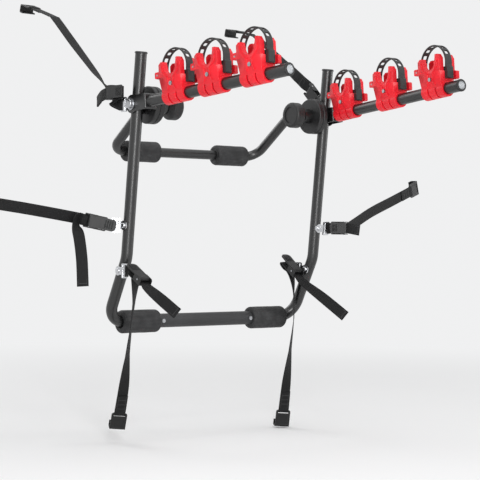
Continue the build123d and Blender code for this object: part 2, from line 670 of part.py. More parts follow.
# Cradles, their ladder straps, pins and clamp screws
half = cradle_length / 2
pin_bore = ladder_pin_diameter / 2 + fit_gap
lug_end = ladder_width / 2 + running_gap + far_lug[2]
short_lug_end = ladder_width / 2 + running_gap + far_lug[2] * short_lug_share
for name, side in sides.items():
    clamp_screws = []
    strap_pins = []
    for number, place in enumerate(cradle_places[name], 1):
        frame = arm_frame(side, place)
        flank = flank_of(frame)
        with BuildPart() as cradle:
            with BuildSketch(flank):
                with BuildLine():
                    flare = trough_radius + trough_flare
                    Polyline((cradle_foot_inset - half, cradle_foot), (-half, cradle_shoulder),
                             (-half, prong_brow), (-prong_top[1], far_prong_height),
                             (-prong_top[0], far_prong_height), (-flare, prong_brow),
                             (-trough_radius, trough_height))
                    RadiusArc((-trough_radius, trough_height), (trough_radius, trough_height),
                              -trough_radius)
                    Polyline((trough_radius, trough_height), (flare, prong_brow),
                             (prong_top[0], near_prong_height),
                             (prong_top[1], near_prong_height), (half, prong_brow),
                             (half, cradle_shoulder), (half - cradle_foot_inset, cradle_foot),
                             (cradle_foot_inset - half, cradle_foot))
                make_face()
            extrude(amount=cradle_width / 2, both=True)
            with BuildSketch(on(frame, along=-half)):
                with BuildLine():
                    Polyline(cradle_outline(0))
                make_face()
            extrude(amount=cradle_length, mode=Mode.INTERSECT)
            fillet(cradle.edges().filter_by(Axis(frame.origin, frame.x_dir)), cradle_corner)
            with BuildPart(mode=Mode.PRIVATE) as ribs:
                for end in (-1, 1):
                    with BuildSketch(flank):
                        with BuildLine():
                            Polyline([(end * along, up) for along, up in rib_corners])
                        trace(line_width=rib_width)
                    extrude(amount=cradle_width, both=True)
                with BuildSketch(on(frame, along=-half)):
                    with BuildLine():
                        Polyline(cradle_outline(rib_depth))
                    make_face()
                extrude(amount=cradle_length, mode=Mode.INTERSECT)
            add(ribs.part)
            with BuildSketch(on(frame, along=-cradle_length)):
                with Locations((0, prong_slot_floor + half)):
                    Rectangle(prong_slot_width, cradle_length)
            extrude(amount=cradle_length * 2, mode=Mode.SUBTRACT)
            for share in ring_shares:
                start = share * cradle_length - ring_width / 2
                with BuildSketch(on(frame, along=start)):
                    Circle(ring_diameter / 2)
                extrude(amount=ring_width)
            for way in (-1, 1):
                start = way * (ladder_width / 2 + running_gap)
                length = far_lug[2] * (1 if way < 0 else short_lug_share)
                with BuildSketch(flank_of(frame, start)):
                    with Locations((-half - far_lug[0] / 2, far_lug_level)):
                        RectangleRounded(far_lug[0] + overrun, far_lug[1], lug_corner)
                extrude(amount=-way * length)
            with BuildSketch(flank_of(frame, cradle_width / 2)):
                with Locations((half + near_lug[0] / 2, near_lug_level)):
                    RectangleRounded(near_lug[0] + overrun, near_lug[1], lug_corner)
            extrude(amount=near_lug[2])
            with BuildSketch(flank_of(frame)):
                with Locations((-ladder_pin_place, far_lug_level)):
                    Circle(pin_bore)
                with Locations((0, clamp_screw_level)):
                    Circle(clamp_screw_diameter / 2 + fit_gap)
            extrude(amount=cradle_width, both=True, mode=Mode.SUBTRACT)
            with BuildSketch(flank_of(frame, side * clamp_seat)):
                with Locations((0, clamp_screw_level)):
                    Circle(clamp_head_diameter / 2 + fit_gap)
            extrude(amount=-side * overrun, mode=Mode.SUBTRACT)
            with BuildSketch(flank_of(frame, -side * clamp_seat)):
                with Locations((0, clamp_screw_level)):
                    RegularPolygon(clamp_nut_across / 2 + fit_gap, 6, major_radius=False)
            extrude(amount=side * overrun, mode=Mode.SUBTRACT)
            with BuildSketch(on(frame, along=-cradle_length)):
                Circle(arm_radius + fit_gap)
            extrude(amount=cradle_length * 2, mode=Mode.SUBTRACT)
        save(cradle.part, f"{name}_cradle_{number}")

        with BuildPart() as ladder:
            arch = Plane(origin=frame.origin + frame.y_dir * ladder_level,
                         x_dir=frame.z_dir, z_dir=-frame.x_dir)
            end = radians(ladder_end_angle)
            heel = (ladder_radius * cos(end), -ladder_radius * sin(end))
            eye_height = far_lug_level - ladder_level
            block_middle = half + running_gap + ladder_block[0] / 2
            with BuildSketch(arch):
                with BuildLine():
                    Line((-ladder_pin_place, eye_height), (-heel[0], heel[1]))
                    RadiusArc((-heel[0], heel[1]), heel, -ladder_radius, short_sagitta=False)
                    Line(heel, (block_middle, ladder_block_top - ladder_thickness - ladder_level))
                trace(line_width=ladder_thickness)
                with Locations((-ladder_pin_place, eye_height)):
                    Circle(ladder_eye_diameter / 2)
                    Circle(pin_bore, mode=Mode.SUBTRACT)
            extrude(amount=ladder_width / 2, both=True)
            for angle in ladder_window_angles:
                turn = radians(angle)
                window = Plane(origin=arch.origin, x_dir=frame.x_dir,
                               z_dir=frame.z_dir * cos(turn) + frame.y_dir * sin(turn))
                with BuildSketch(window.offset(ladder_radius - ladder_thickness)):
                    RectangleRounded(ladder_window[0], ladder_window[1], ladder_thickness / 2)
                extrude(amount=ladder_thickness * 2, mode=Mode.SUBTRACT)
            with BuildSketch(flank):
                with Locations((block_middle, ladder_block_top - ladder_block[1] / 2)):
                    RectangleRounded(ladder_block[0], ladder_block[1], ladder_thickness)
                with Locations((half, ladder_block_top - ladder_tongue[1] / 2)):
                    Rectangle(ladder_tongue[0], ladder_tongue[1], align=(Align.MAX, Align.CENTER))
                    Rectangle(ladder_block[0] / 2, ladder_tongue[1],
                              align=(Align.MIN, Align.CENTER))
            extrude(amount=ladder_block[2] / 2, both=True)
        save(ladder.part, f"{name}_ladder_strap_{number}")

        with BuildPart() as strap_pin:
            with BuildSketch(flank_of(frame, -lug_end)):
                with Locations((-ladder_pin_place, far_lug_level)):
                    Circle(ladder_pin_diameter / 2)
            extrude(amount=-(lug_end + short_lug_end))
        strap_pins.append(strap_pin.part)

        with BuildPart() as clamp_screw:
            with BuildSketch(flank_of(frame, side * clamp_seat)):
                with Locations((0, clamp_screw_level)):
                    Circle(clamp_head_diameter / 2)
            extrude(amount=-side * clamp_head_height)
            with BuildSketch(flank_of(frame, side * clamp_seat)):
                with Locations((0, clamp_screw_level)):
                    Circle(clamp_screw_diameter / 2)
            extrude(amount=side * (clamp_seat * 2 + clamp_nut_height))
            with BuildSketch(flank_of(frame, -side * clamp_seat)):
                with Locations((0, clamp_screw_level)):
                    RegularPolygon(clamp_nut_across / 2, 6, major_radius=False)
            extrude(amount=side * clamp_nut_height)
            with BuildSketch(flank_of(frame, side * (clamp_seat + clamp_head_height))):
                with Locations((0, clamp_screw_level)):
                    RegularPolygon(clamp_screw_diameter / 2, 6)
            extrude(amount=side * clamp_head_height / 2, mode=Mode.SUBTRACT)
        clamp_screws.append(clamp_screw.part)
    save(Compound(children=clamp_screws), name + "_clamp_screws")
    save(Compound(children=strap_pins), name + "_strap_pins")

# Strap brackets, buckles, webbing and hooks
def band_plane(name):
    """The bracket's underside beyond its foot, turned by the bracket's bend."""
    eye = eye_frames[name]
    bend = radians(plate_bends.get(name, 0))
    origin = eye.origin + eye.x_dir * plate_foot
    return Plane(origin=origin, x_dir=eye.x_dir * cos(bend) + eye.z_dir * sin(bend),
                 z_dir=eye.z_dir * cos(bend) - eye.x_dir * sin(bend))


def webbing_ring(plane, bar_width, bar_thickness):
    """Webbing sewn round a bar; the plane lies across the bar's middle."""
    with BuildPart() as ring:
        with BuildSketch(plane):
            wide = bar_width + ring_play * 2
            high = bar_thickness + ring_play * 2
            RectangleRounded(wide + webbing_thickness * 2, high + webbing_thickness * 2,
                             webbing_thickness)
            Rectangle(wide, high, mode=Mode.SUBTRACT)
        extrude(amount=webbing_width / 2, both=True)
    return ring.part


def smoothed(stations, steps):
    """More stations between those of a table, on a curve through them."""
    points = [Vector(*p) for p, w in stations]
    widths = [Vector(*w).normalized() for p, w in stations]
    out = []
    for i in range(len(points) - 1):
        a = points[max(i - 1, 0)]
        b, c = points[i], points[i + 1]
        d = points[min(i + 2, len(points) - 1)]
        for step in range(steps):
            t = step / steps
            curve = (b * 2 + (c - a) * t + (a * 2 - b * 5 + c * 4 - d) * t ** 2
                     + (b * 3 - a - c * 3 + d) * t ** 3) * 0.5
            out.append((curve, widths[i] * (1 - t) + widths[i + 1] * t))
    out.append((points[-1], widths[-1]))
    return out


def webbing(stations, thickness):
    """A flat strap through stations, each a point and the direction of its width."""
    with BuildPart() as strap:
        for i, (point, width) in enumerate(stations):
            before = stations[max(i - 1, 0)][0]
            after = stations[min(i + 1, len(stations) - 1)][0]
            first = (point - before).normalized() if i > 0 else Vector(0, 0, 0)
            last = (after - point).normalized() if i < len(stations) - 1 else Vector(0, 0, 0)
            tangent = (first + last).normalized()
            across = (width - tangent * width.dot(tangent)).normalized()
            with BuildSketch(Plane(origin=point, x_dir=across, z_dir=tangent)):
                Rectangle(webbing_width, thickness)
        loft(ruled=True)
    # On some curves the faces come out inwards, and outwards from the other end
    return strap.part if strap.part.volume > 0 else webbing(stations[::-1], thickness)


def in_frame(frame, along, out):
    return frame.origin + frame.x_dir * along + frame.z_dir * out


brackets = []
rivets = []
buckles = []
lever_pins = []
hooks = []
for name, eye in eye_frames.items():
    band = band_plane(name)
    bend = radians(plate_bends.get(name, 0))
    band_length = plate_length - plate_foot
    at_hub = name in ("top_left", "top_right")
    with BuildPart() as bracket:
        with BuildSketch(eye):
            Circle(plate_eye_diameter / 2)
            Rectangle(plate_foot, plate_neck_width, align=(Align.MIN, Align.CENTER))
        extrude(amount=plate_thickness)
        with BuildSketch(band):
            with Locations((band_length / 2, 0)):
                RectangleRounded(band_length, plate_width, plate_corner)
            with Locations((0, 0)):
                Rectangle(plate_corner * 2, plate_neck_width, align=(Align.MIN, Align.CENTER))
        extrude(amount=plate_thickness)
        if bend < 0:
            side_view = Plane(origin=eye.origin, x_dir=eye.x_dir, z_dir=-eye.y_dir)
            with BuildSketch(side_view):
                with BuildLine():
                    mitre = plate_thickness * tan(-bend / 2)
                    Polyline((plate_foot, 0), (plate_foot, plate_thickness),
                             (plate_foot + mitre, plate_thickness),
                             (plate_foot - plate_thickness * sin(bend),
                              plate_thickness * cos(bend)), (plate_foot, 0))
                make_face()
            extrude(amount=plate_neck_width / 2, both=True)
        bead = Plane(origin=band.origin + band.x_dir * plate_bead_place
                     + band.z_dir * plate_thickness, x_dir=band.x_dir, z_dir=band.y_dir)
        with BuildSketch(bead):
            Circle(plate_bead_diameter / 2)
        extrude(amount=plate_width / 2 - plate_corner, both=True)
        with BuildSketch(band):
            with Locations((band_length - plate_bar - plate_slot / 2, 0)):
                Rectangle(plate_slot, plate_slot_width)
        extrude(amount=plate_thickness * 2, mode=Mode.SUBTRACT)
        with BuildSketch(eye):
            Circle((bolt_diameter if at_hub else rivet_diameter) / 2 + fit_gap)
        extrude(amount=plate_thickness, both=True, mode=Mode.SUBTRACT)
    brackets.append(bracket.part)
    if not at_hub:
        with BuildPart() as rivet:
            with BuildSketch(eye.offset(plate_thickness)):
                Circle(rivet_head_diameter / 2)
            extrude(amount=rivet_head_height)
            fillet(rivet.faces().sort_by(Axis(eye.origin, eye.z_dir))[-1].edges(),
                   rivet_head_corner)
            with BuildSketch(eye.offset(plate_thickness)):
                Circle(rivet_diameter / 2)
            extrude(amount=-(plate_thickness + rivet_grip + rivet_tail))
            with BuildSketch(eye.offset(-rivet_grip)):
                Circle(rivet_tail_diameter / 2)
            extrude(amount=-rivet_tail)
        rivets.append(rivet.part)

    start, forward, outward = buckle_frames[name]
    frame = Plane(origin=start, x_dir=forward, z_dir=outward)
    with BuildPart() as buckle:
        with BuildSketch(frame):
            with Locations((buckle_length / 2, 0)):
                RectangleRounded(buckle_length, buckle_width, buckle_corner)
            for middle, width in ((anchor_bar + anchor_slot / 2, anchor_slot),
                                  (feed_slot_start + feed_slot / 2, feed_slot)):
                with Locations((middle, 0)):
                    Rectangle(width, buckle_slot_width, mode=Mode.SUBTRACT)
        extrude(amount=buckle_base)
        for way in (-1, 1):
            cheek = Plane(origin=frame.origin + frame.y_dir * way * buckle_width / 2,
                          x_dir=frame.x_dir, z_dir=-frame.y_dir)
            with BuildSketch(cheek):
                with BuildLine():
                    tail = buckle_length - cheek_length
                    FilletPolyline((tail, 0), (tail, cheek_height), (buckle_length, cheek_height),
                                   (buckle_length, 0), radius=cheek_corner)
                    Line((buckle_length, 0), (tail, 0))
                make_face()
                with Locations((lever_pin_place, lever_pin_level)):
                    Circle(lever_pin_diameter / 2 + fit_gap, mode=Mode.SUBTRACT)
            extrude(amount=way * cheek_thickness)
    buckles.append(buckle.part)

    flank = Plane(origin=frame.origin, x_dir=frame.x_dir, z_dir=-frame.y_dir)
    cam_top = lever_pin_level + lever_cam_radius
    with BuildPart() as lever:
        with BuildSketch(flank):
            with Locations((lever_pin_place, lever_pin_level)):
                Circle(lever_cam_radius)
            with Locations((lever_pin_place, cam_top)):
                Rectangle(lever_length, lever_thickness, align=(Align.MAX, Align.MAX))
        extrude(amount=lever_width / 2, both=True)
        tip = lever.edges().filter_by(Axis(frame.origin, frame.z_dir))
        fillet(tip.sort_by(Axis(frame.origin, frame.x_dir))[:2], lever_tip_corner)
        with BuildSketch(flank):
            for i in range(lever_ridge_count):
                ridge = lever_pin_place - lever_length + lever_tip_corner
                with Locations((ridge + i * lever_ridge_pitch, cam_top)):
                    Circle(lever_ridge)
        extrude(amount=lever_width / 2 - lever_tip_corner / 2, both=True)
        with BuildSketch(flank):
            with Locations((lever_pin_place, lever_pin_level)):
                Circle(lever_pin_diameter / 2 + fit_gap)
        extrude(amount=lever_width, both=True, mode=Mode.SUBTRACT)
    save(lever.part, name + "_lever")
    with BuildPart() as lever_pin:
        with BuildSketch(flank):
            with Locations((lever_pin_place, lever_pin_level)):
                Circle(lever_pin_diameter / 2)
        extrude(amount=buckle_width / 2 + lever_pin_overhang, both=True)
    lever_pins.append(lever_pin.part)

    # One strap: tail, buckle, main run and hook, and the loop that holds the buckle
    across = frame.y_dir
    turn = list(feed_turn) + list(under_drop if name.startswith("bottom") else under_turn)
    edge = feed_slot_start + feed_slot
    level, under = feed_turn[0][1], under_turn[-1][1]
    local = [(buckle_length, level)] + [(edge + along, out) for along, out in turn]
    if not name.startswith("bottom"):
        local += [(buckle_length + overrun, under)]
    inside = [(in_frame(frame, *p), across) for p in local]
    mouth = [(in_frame(frame, buckle_length + step, level), across)
             for step in (seam, overrun)]
    tail = mouth[:1] + smoothed(mouth[1:] + list(tail_stations[name]), smooth_steps)
    run = smoothed([inside[-1]] + list(run_stations[name]), smooth_steps)

    bar = Plane(origin=in_frame(band, band_length - plate_bar / 2, plate_thickness / 2),
                x_dir=band.x_dir, z_dir=-band.y_dir)
    anchor = Plane(origin=in_frame(frame, anchor_bar / 2, buckle_base / 2),
                   x_dir=frame.x_dir, z_dir=-frame.y_dir)
    ring_reach = ring_play + webbing_thickness + seam
    leave = in_frame(band, band_length + ring_reach, plate_thickness / 2)
    arrive = in_frame(frame, -ring_reach, buckle_base / 2)
    # The loop's width starts along the bracket's bar, turned as its stations need
    upright = name in ("top_left", "bottom_left", "bottom_right")
    guide = Vector(0, 0, 1) if upright else across
    sense = 1 if band.y_dir.dot(guide) > 0 else -1
    leaving = [(leave, band.y_dir * sense),
               (leave + band.x_dir * loop_lead, band.y_dir * sense)]
    arriving = [(arrive - frame.x_dir * loop_lead, across), (arrive, across)]
    thickness = loop_thickness
    if name == "top_left":
        arriving = [(in_frame(frame, *p), Vector(0, 0, 1)) for p in top_left_loop_end]
        thickness = top_left_loop_thickness
    link = leaving + [(Vector(*p), Vector(*w)) for p, w in loop_stations[name]] + arriving
    lengths = [webbing(tail, webbing_thickness), webbing(inside[:-1] + run, webbing_thickness),
               webbing(link, thickness), webbing_ring(bar, plate_bar, plate_thickness),
               webbing_ring(anchor, anchor_bar, buckle_base)]

    # Hook on the end of the run
    end, width = run[-1]
    along = (end - run[-2][0]).normalized()
    width = (width - along * width.dot(along)).normalized()
    if along.cross(width).dot(Vector(0, -1, 1)) < 0:
        width = -width
    bar_frame = Plane(origin=end + along * ring_reach, x_dir=width, z_dir=along)
    profile = flank_of(on(bar_frame, up=hook_thickness / 2))
    with BuildPart() as hook:
        with BuildSketch(profile):
            with BuildLine():
                toe = -hook_throat - hook_thickness
                heel = hook_length - hook_lip
                FilletPolyline((0, 0), (hook_length, 0), (hook_length, toe - hook_thickness),
                               (heel, toe - hook_thickness), (heel, toe),
                               (hook_length - hook_thickness, toe),
                               (hook_length - hook_thickness, -hook_thickness),
                               (0, -hook_thickness), close=True,
                               radius=(0, hook_outer_bend, hook_outer_bend, 0, 0, hook_bend,
                                       hook_bend, 0))
            make_face()
        extrude(amount=hook_width / 2, both=True)
        ends = hook.edges().filter_by(Axis(bar_frame.origin, bar_frame.y_dir))
        top = ends.sort_by(Axis(bar_frame.origin, bar_frame.z_dir))[:2]
        fillet(top, hook_corner)
        with BuildSketch(top_of(bar_frame, hook_thickness)):
            with Locations((0, -hook_bar - hook_slot[1] / 2)):
                Rectangle(hook_slot[0], hook_slot[1])
        extrude(amount=-hook_thickness * 2, mode=Mode.SUBTRACT)
        with BuildSketch(top_of(bar_frame, hook_thickness / 2)):
            with Locations((0, -hook_panel_end + hook_panel[1] / 2)):
                RectangleRounded(hook_panel[0], hook_panel[1], hook_bend)
        extrude(amount=-hook_panel_depth, mode=Mode.SUBTRACT)
    hooks.append(hook.part)
    hook_bar_plane = Plane(origin=bar_frame.origin + along * hook_bar / 2, x_dir=along,
                           z_dir=width)
    lengths.append(webbing_ring(hook_bar_plane, hook_bar, hook_thickness))
    save(Compound(children=lengths), name + "_strap")
save(Compound(children=brackets), "strap_brackets")
save(Compound(children=rivets), "bracket_rivets")
save(Compound(children=buckles), "buckle_bodies")
save(Compound(children=lever_pins), "lever_pins")
save(Compound(children=hooks), "strap_hooks")
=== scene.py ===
import bpy
import bmesh
import json
import math
import random
from mathutils import Matrix, Vector

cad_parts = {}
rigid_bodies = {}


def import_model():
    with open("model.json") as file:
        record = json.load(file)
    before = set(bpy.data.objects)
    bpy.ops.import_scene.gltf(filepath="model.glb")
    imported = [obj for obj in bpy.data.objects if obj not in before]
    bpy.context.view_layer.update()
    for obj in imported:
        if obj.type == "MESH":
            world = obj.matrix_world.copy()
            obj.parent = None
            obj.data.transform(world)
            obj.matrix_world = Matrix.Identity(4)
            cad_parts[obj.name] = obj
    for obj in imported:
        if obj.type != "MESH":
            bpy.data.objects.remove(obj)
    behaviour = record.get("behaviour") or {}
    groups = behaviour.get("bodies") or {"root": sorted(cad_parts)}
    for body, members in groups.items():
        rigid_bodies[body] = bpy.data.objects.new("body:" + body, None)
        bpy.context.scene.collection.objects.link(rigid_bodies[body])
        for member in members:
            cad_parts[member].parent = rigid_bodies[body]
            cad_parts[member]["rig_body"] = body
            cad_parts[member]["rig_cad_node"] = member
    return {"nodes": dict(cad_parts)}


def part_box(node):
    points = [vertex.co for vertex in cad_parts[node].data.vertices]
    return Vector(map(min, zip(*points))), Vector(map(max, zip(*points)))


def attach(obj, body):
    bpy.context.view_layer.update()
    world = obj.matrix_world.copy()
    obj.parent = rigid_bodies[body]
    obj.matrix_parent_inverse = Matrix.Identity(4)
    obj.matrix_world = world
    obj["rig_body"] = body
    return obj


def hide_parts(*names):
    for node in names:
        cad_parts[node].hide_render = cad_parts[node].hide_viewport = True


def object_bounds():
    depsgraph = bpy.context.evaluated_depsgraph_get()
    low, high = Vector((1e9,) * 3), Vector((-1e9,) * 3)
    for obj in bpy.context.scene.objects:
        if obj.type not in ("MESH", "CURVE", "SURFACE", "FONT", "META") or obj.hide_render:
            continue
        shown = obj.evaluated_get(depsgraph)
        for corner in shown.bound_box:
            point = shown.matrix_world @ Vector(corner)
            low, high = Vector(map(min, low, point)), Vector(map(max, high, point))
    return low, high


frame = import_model()
nodes = frame["nodes"]
cadLow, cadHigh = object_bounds()
random.seed(7)
print("frame loaded,", len(nodes), "nodes")

weld = {"points": 0.00002, "hair": 0.000002}  # how near points are merged


# Small tools that every piece uses
def clearSelection():
    if bpy.context.object and bpy.context.object.mode != "OBJECT":
        bpy.ops.object.mode_set(mode="OBJECT")
    bpy.ops.object.select_all(action="DESELECT")


def pickOnly(obj):
    clearSelection()
    obj.select_set(True)
    bpy.context.view_layer.objects.active = obj


def settle(obj, name):  # place, turn and scale go into the mesh
    pickOnly(obj)
    bpy.ops.object.transform_apply(location=True, rotation=True, scale=True)
    obj.name = name
    obj.data.name = name
    return obj


def bakeModifiers(obj):
    pickOnly(obj)
    for mod in list(obj.modifiers):
        bpy.ops.object.modifier_apply(modifier=mod.name)


def smooth(obj, degrees):
    pickOnly(obj)
    bpy.ops.object.shade_smooth_by_angle(angle=math.radians(degrees))


# Shader maths written as sums
class Wire:  # a socket that can be added, scaled and compared like a number
    def __init__(self, finish, socket):
        self.finish = finish
        self.socket = socket

    def op(self, operation, *others, flip=False):
        values = [self, *others]
        if flip:
            values = [others[0], self]
        return self.finish.node("ShaderNodeMath", {"operation": operation}, *values)

    def __add__(self, other): return self.op("ADD", other)
    def __radd__(self, other): return self.op("ADD", other)
    def __sub__(self, other): return self.op("SUBTRACT", other)
    def __rsub__(self, other): return self.op("SUBTRACT", other, flip=True)
    def __mul__(self, other): return self.op("MULTIPLY", other)
    def __gt__(self, other): return self.op("GREATER_THAN", other)
    def __lt__(self, other): return self.op("LESS_THAN", other)
    def __abs__(self): return self.op("ABSOLUTE")

    def sine(self): return self.op("SINE")
    def fraction(self): return self.op("FRACT")
    def biggest(self, other): return self.op("MAXIMUM", other)

    def ramp(self, low, high):
        return self.finish.node("ShaderNodeMapRange", {"interpolation_type": "SMOOTHSTEP"},
                                self, low, high)


class Finish:
    def __init__(self, name):
        self.material = bpy.data.materials.new(name)
        self.material.use_nodes = True
        self.tree = self.material.node_tree
        self.tree.nodes.clear()
        self.shader = self.tree.nodes.new("ShaderNodeBsdfPrincipled")
        out = self.tree.nodes.new("ShaderNodeOutputMaterial")
        self.tree.links.new(self.shader.outputs[0], out.inputs["Surface"])

    def put(self, socket, value):
        if isinstance(value, Wire):
            self.tree.links.new(value.socket, socket)
        elif value is not None:
            socket.default_value = value

    def node(self, kind, settings=None, *values, out=0, **named):
        made = self.tree.nodes.new(kind)
        for key, value in (settings or {}).items():
            setattr(made, key, value)
        for socket, value in zip(made.inputs, values):
            self.put(socket, value)
        for key, value in named.items():
            self.put(made.inputs[key.replace("_", " ")], value)
        return Wire(self, made.outputs[out])

    def place(self):
        return self.node("ShaderNodeTexCoord", out="Object")

    def seen(self):  # 1 where the eye, a gloss or a clear piece looks at it, else 0
        rays = [self.node("ShaderNodeLightPath", out="Is %s Ray" % kind)
                for kind in ("Camera", "Glossy", "Transmission")]
        return rays[0].biggest(rays[1]).biggest(rays[2])

    def split(self, vector):
        made = self.tree.nodes.new("ShaderNodeSeparateXYZ")
        self.put(made.inputs[0], vector)
        return [Wire(self, made.outputs[i]) for i in range(3)]

    def stretch(self, vector, scale):
        return self.node("ShaderNodeMapping", {}, Vector=vector, Scale=scale)

    def noise(self, vector, scale, detail=3.0, rough=0.55):
        return self.node("ShaderNodeTexNoise", {}, Vector=vector, Scale=scale, Detail=detail,
                         Roughness=rough)

    def cells(self, vector, scale):
        return self.node("ShaderNodeTexVoronoi", {}, Vector=vector, Scale=scale)

    def blendColour(self, factor, first, second):
        made = self.tree.nodes.new("ShaderNodeMix")
        made.data_type = "RGBA"
        for socket, value in ((made.inputs[0], factor), (made.inputs[6], first),
                              (made.inputs[7], second)):
            self.put(socket, rgba(value) if isinstance(value, tuple) else value)
        return Wire(self, made.outputs[2])

    def bump(self, height, distance, strength, after=None):
        return self.node("ShaderNodeBump", {}, Height=height, Distance=distance,
                         Strength=strength, Normal=after)

    def finish(self, **values):
        for key, value in values.items():
            value = rgba(value) if isinstance(value, tuple) and len(value) == 3 else value
            self.put(self.shader.inputs[key.replace("_", " ")], value)
        return self.material


def rgba(colour):
    return (*colour, 1.0)


# Camera, floor and lights
shot = {
    "hub": (0, -0.138, 0.477),   # middle of the hub axis
    "picture": 480,              # pixels across
    "seenAt": (235.1, 111.2),    # where the hub's middle stands in the picture
    "azimuth": -38, "elevation": -4.5, "roll": 0.5,
    "distance": 3.6, "lens": 118.6, "film": 36, "reach": 60,
}


def aimCamera(data):
    turn, rise = math.radians(data["azimuth"]), math.radians(data["elevation"])
    hub = Vector(data["hub"])
    back = Vector((math.sin(turn) * math.cos(rise), -math.cos(turn) * math.cos(rise),
                   math.sin(rise)))
    right = Vector((0, 0, 1)).cross(back).normalized()
    up = back.cross(right)
    lean = math.radians(data["roll"])
    right, up = (right * math.cos(lean) + up * math.sin(lean),
                 up * math.cos(lean) - right * math.sin(lean))
    focal = data["lens"] / data["film"] * data["picture"]
    middle = data["picture"] / 2
    acrossBy, downBy = data["seenAt"]
    look = -back + right * ((middle - acrossBy) / focal) + up * ((downBy - middle) / focal)
    look.normalize()
    side = look.cross(up).normalized()
    axes = Matrix((side, side.cross(look), -look)).transposed()
    bpy.ops.object.camera_add(location=hub + back * data["distance"],
                              rotation=axes.to_euler())
    camera = bpy.context.object
    camera.name = "camera"
    camera.data.lens = data["lens"]
    camera.data.sensor_width = data["film"]
    camera.data.clip_end = data["reach"]
    bpy.context.scene.camera = camera


clearSelection()
aimCamera(shot)

studio = {
    "floorColour": (0.97, 0.973, 0.978), "floorShade": 0.985, "floorCloud": 3.0,
    "floorRough": 0.9, "floorDrop": 0.002, "floorSize": 60,
    "surround": (0.87, 0.873, 0.878), "fill": 0.42,
    "fadeFrom": 0.7, "fadeTo": 3.2,   # where the floor runs into the backdrop
    "litAt": (0, -0.2, 0.3),          # what the lamps point at
}
clearSelection()
bpy.ops.mesh.primitive_plane_add(size=studio["floorSize"],
                                 location=(0, 0, cadLow.z - studio["floorDrop"]))
floor = settle(bpy.context.object, "floor")
pale = Finish("paleFloor")
spread = pale.noise(pale.place(), studio["floorCloud"], 2.0)
floor.data.materials.append(pale.finish(
    Base_Color=pale.blendColour(spread, studio["floorColour"],
                                tuple(c * studio["floorShade"] for c in studio["floorColour"])),
    Roughness=studio["floorRough"]))
far = pale.node("ShaderNodeVectorMath", {"operation": "LENGTH"}, pale.place(), out="Value")
toWall = far.ramp(studio["fadeFrom"], studio["fadeTo"]) * pale.seen()
backdrop = pale.node("ShaderNodeEmission", {}, rgba(studio["surround"]), 1.0)
joined = pale.node("ShaderNodeMixShader", {}, toWall, Wire(pale, pale.shader.outputs[0]),
                   backdrop)
pale.tree.links.new(joined.socket, pale.tree.nodes["Material Output"].inputs["Surface"])

world = bpy.data.worlds.new("studio")
bpy.context.scene.world = world
world.use_nodes = True
wires = world.node_tree
wires.nodes.clear()
path = wires.nodes.new("ShaderNodeLightPath")
seen = path.outputs["Is Camera Ray"]
for ray in ("Is Glossy Ray", "Is Transmission Ray"):
    either = wires.nodes.new("ShaderNodeMath")
    either.operation = "MAXIMUM"
    wires.links.new(seen, either.inputs[0])
    wires.links.new(path.outputs[ray], either.inputs[1])
    seen = either.outputs[0]
sky = wires.nodes.new("ShaderNodeBackground")
sky.inputs["Color"].default_value = rgba((1, 1, 1))
sky.inputs["Strength"].default_value = studio["fill"]
wall = wires.nodes.new("ShaderNodeBackground")
wall.inputs["Color"].default_value = rgba(studio["surround"])
choose = wires.nodes.new("ShaderNodeMixShader")
worldOut = wires.nodes.new("ShaderNodeOutputWorld")
wires.links.new(seen, choose.inputs[0])
wires.links.new(sky.outputs[0], choose.inputs[1])
wires.links.new(wall.outputs[0], choose.inputs[2])
wires.links.new(choose.outputs[0], worldOut.inputs["Surface"])

softboxes = {
    "key": {"place": (-1.4, -2.3, 0.75), "size": (0.34, 2.1), "watts": 40},
    "side": {"place": (3.4, -1.5, 1.3), "size": (0.6, 2.6), "watts": 30},
    "top": {"place": (0.2, -0.4, 3.4), "size": (2.6, 2.0), "watts": 26},
    "back": {"place": (-0.6, 3.2, 2.0), "size": (2.4, 1.6), "watts": 26},
}
for name, box in softboxes.items():
    toward = Vector(studio["litAt"]) - Vector(box["place"])
    bpy.ops.object.light_add(type="AREA", location=box["place"],
                             rotation=toward.to_track_quat("-Z", "Y").to_euler())
    lamp = bpy.context.object
    lamp.name = name + "Softbox"
    lamp.data.shape = "RECTANGLE"
    lamp.data.size, lamp.data.size_y = box["size"]
    lamp.data.energy = box["watts"]
    lamp.visible_camera = False
bpy.context.scene.view_settings.view_transform = "Standard"
print("camera, floor and lights placed")


# Finishes of the pieces
def powderCoat(name, colour, rough, shine=0.5):  # baked coat on bent tube
    f = Finish(name)
    where = f.place()
    broad = f.noise(where, 9.0, 3.0)
    peel = f.noise(where, 850.0, 2.0, 0.5)
    scuff = f.noise(f.stretch(where, (40, 40, 260)), 3.0, 5.0, 0.7).ramp(0.66, 0.78)
    dust = f.noise(where, 60.0, 4.0, 0.65).ramp(0.5, 0.75)
    light = tuple(min(1, c * 1.6 + 0.008) for c in colour)
    base = f.blendColour(broad.ramp(0.35, 0.65), colour, tuple(c * 0.8 for c in colour))
    base = f.blendColour(scuff * 0.35, base, light)
    return f.finish(Base_Color=base, Specular_IOR_Level=shine,
                    Roughness=rough + dust * 0.07 + scuff * 0.12,
                    Normal=f.bump(peel, 0.0001, 0.35))


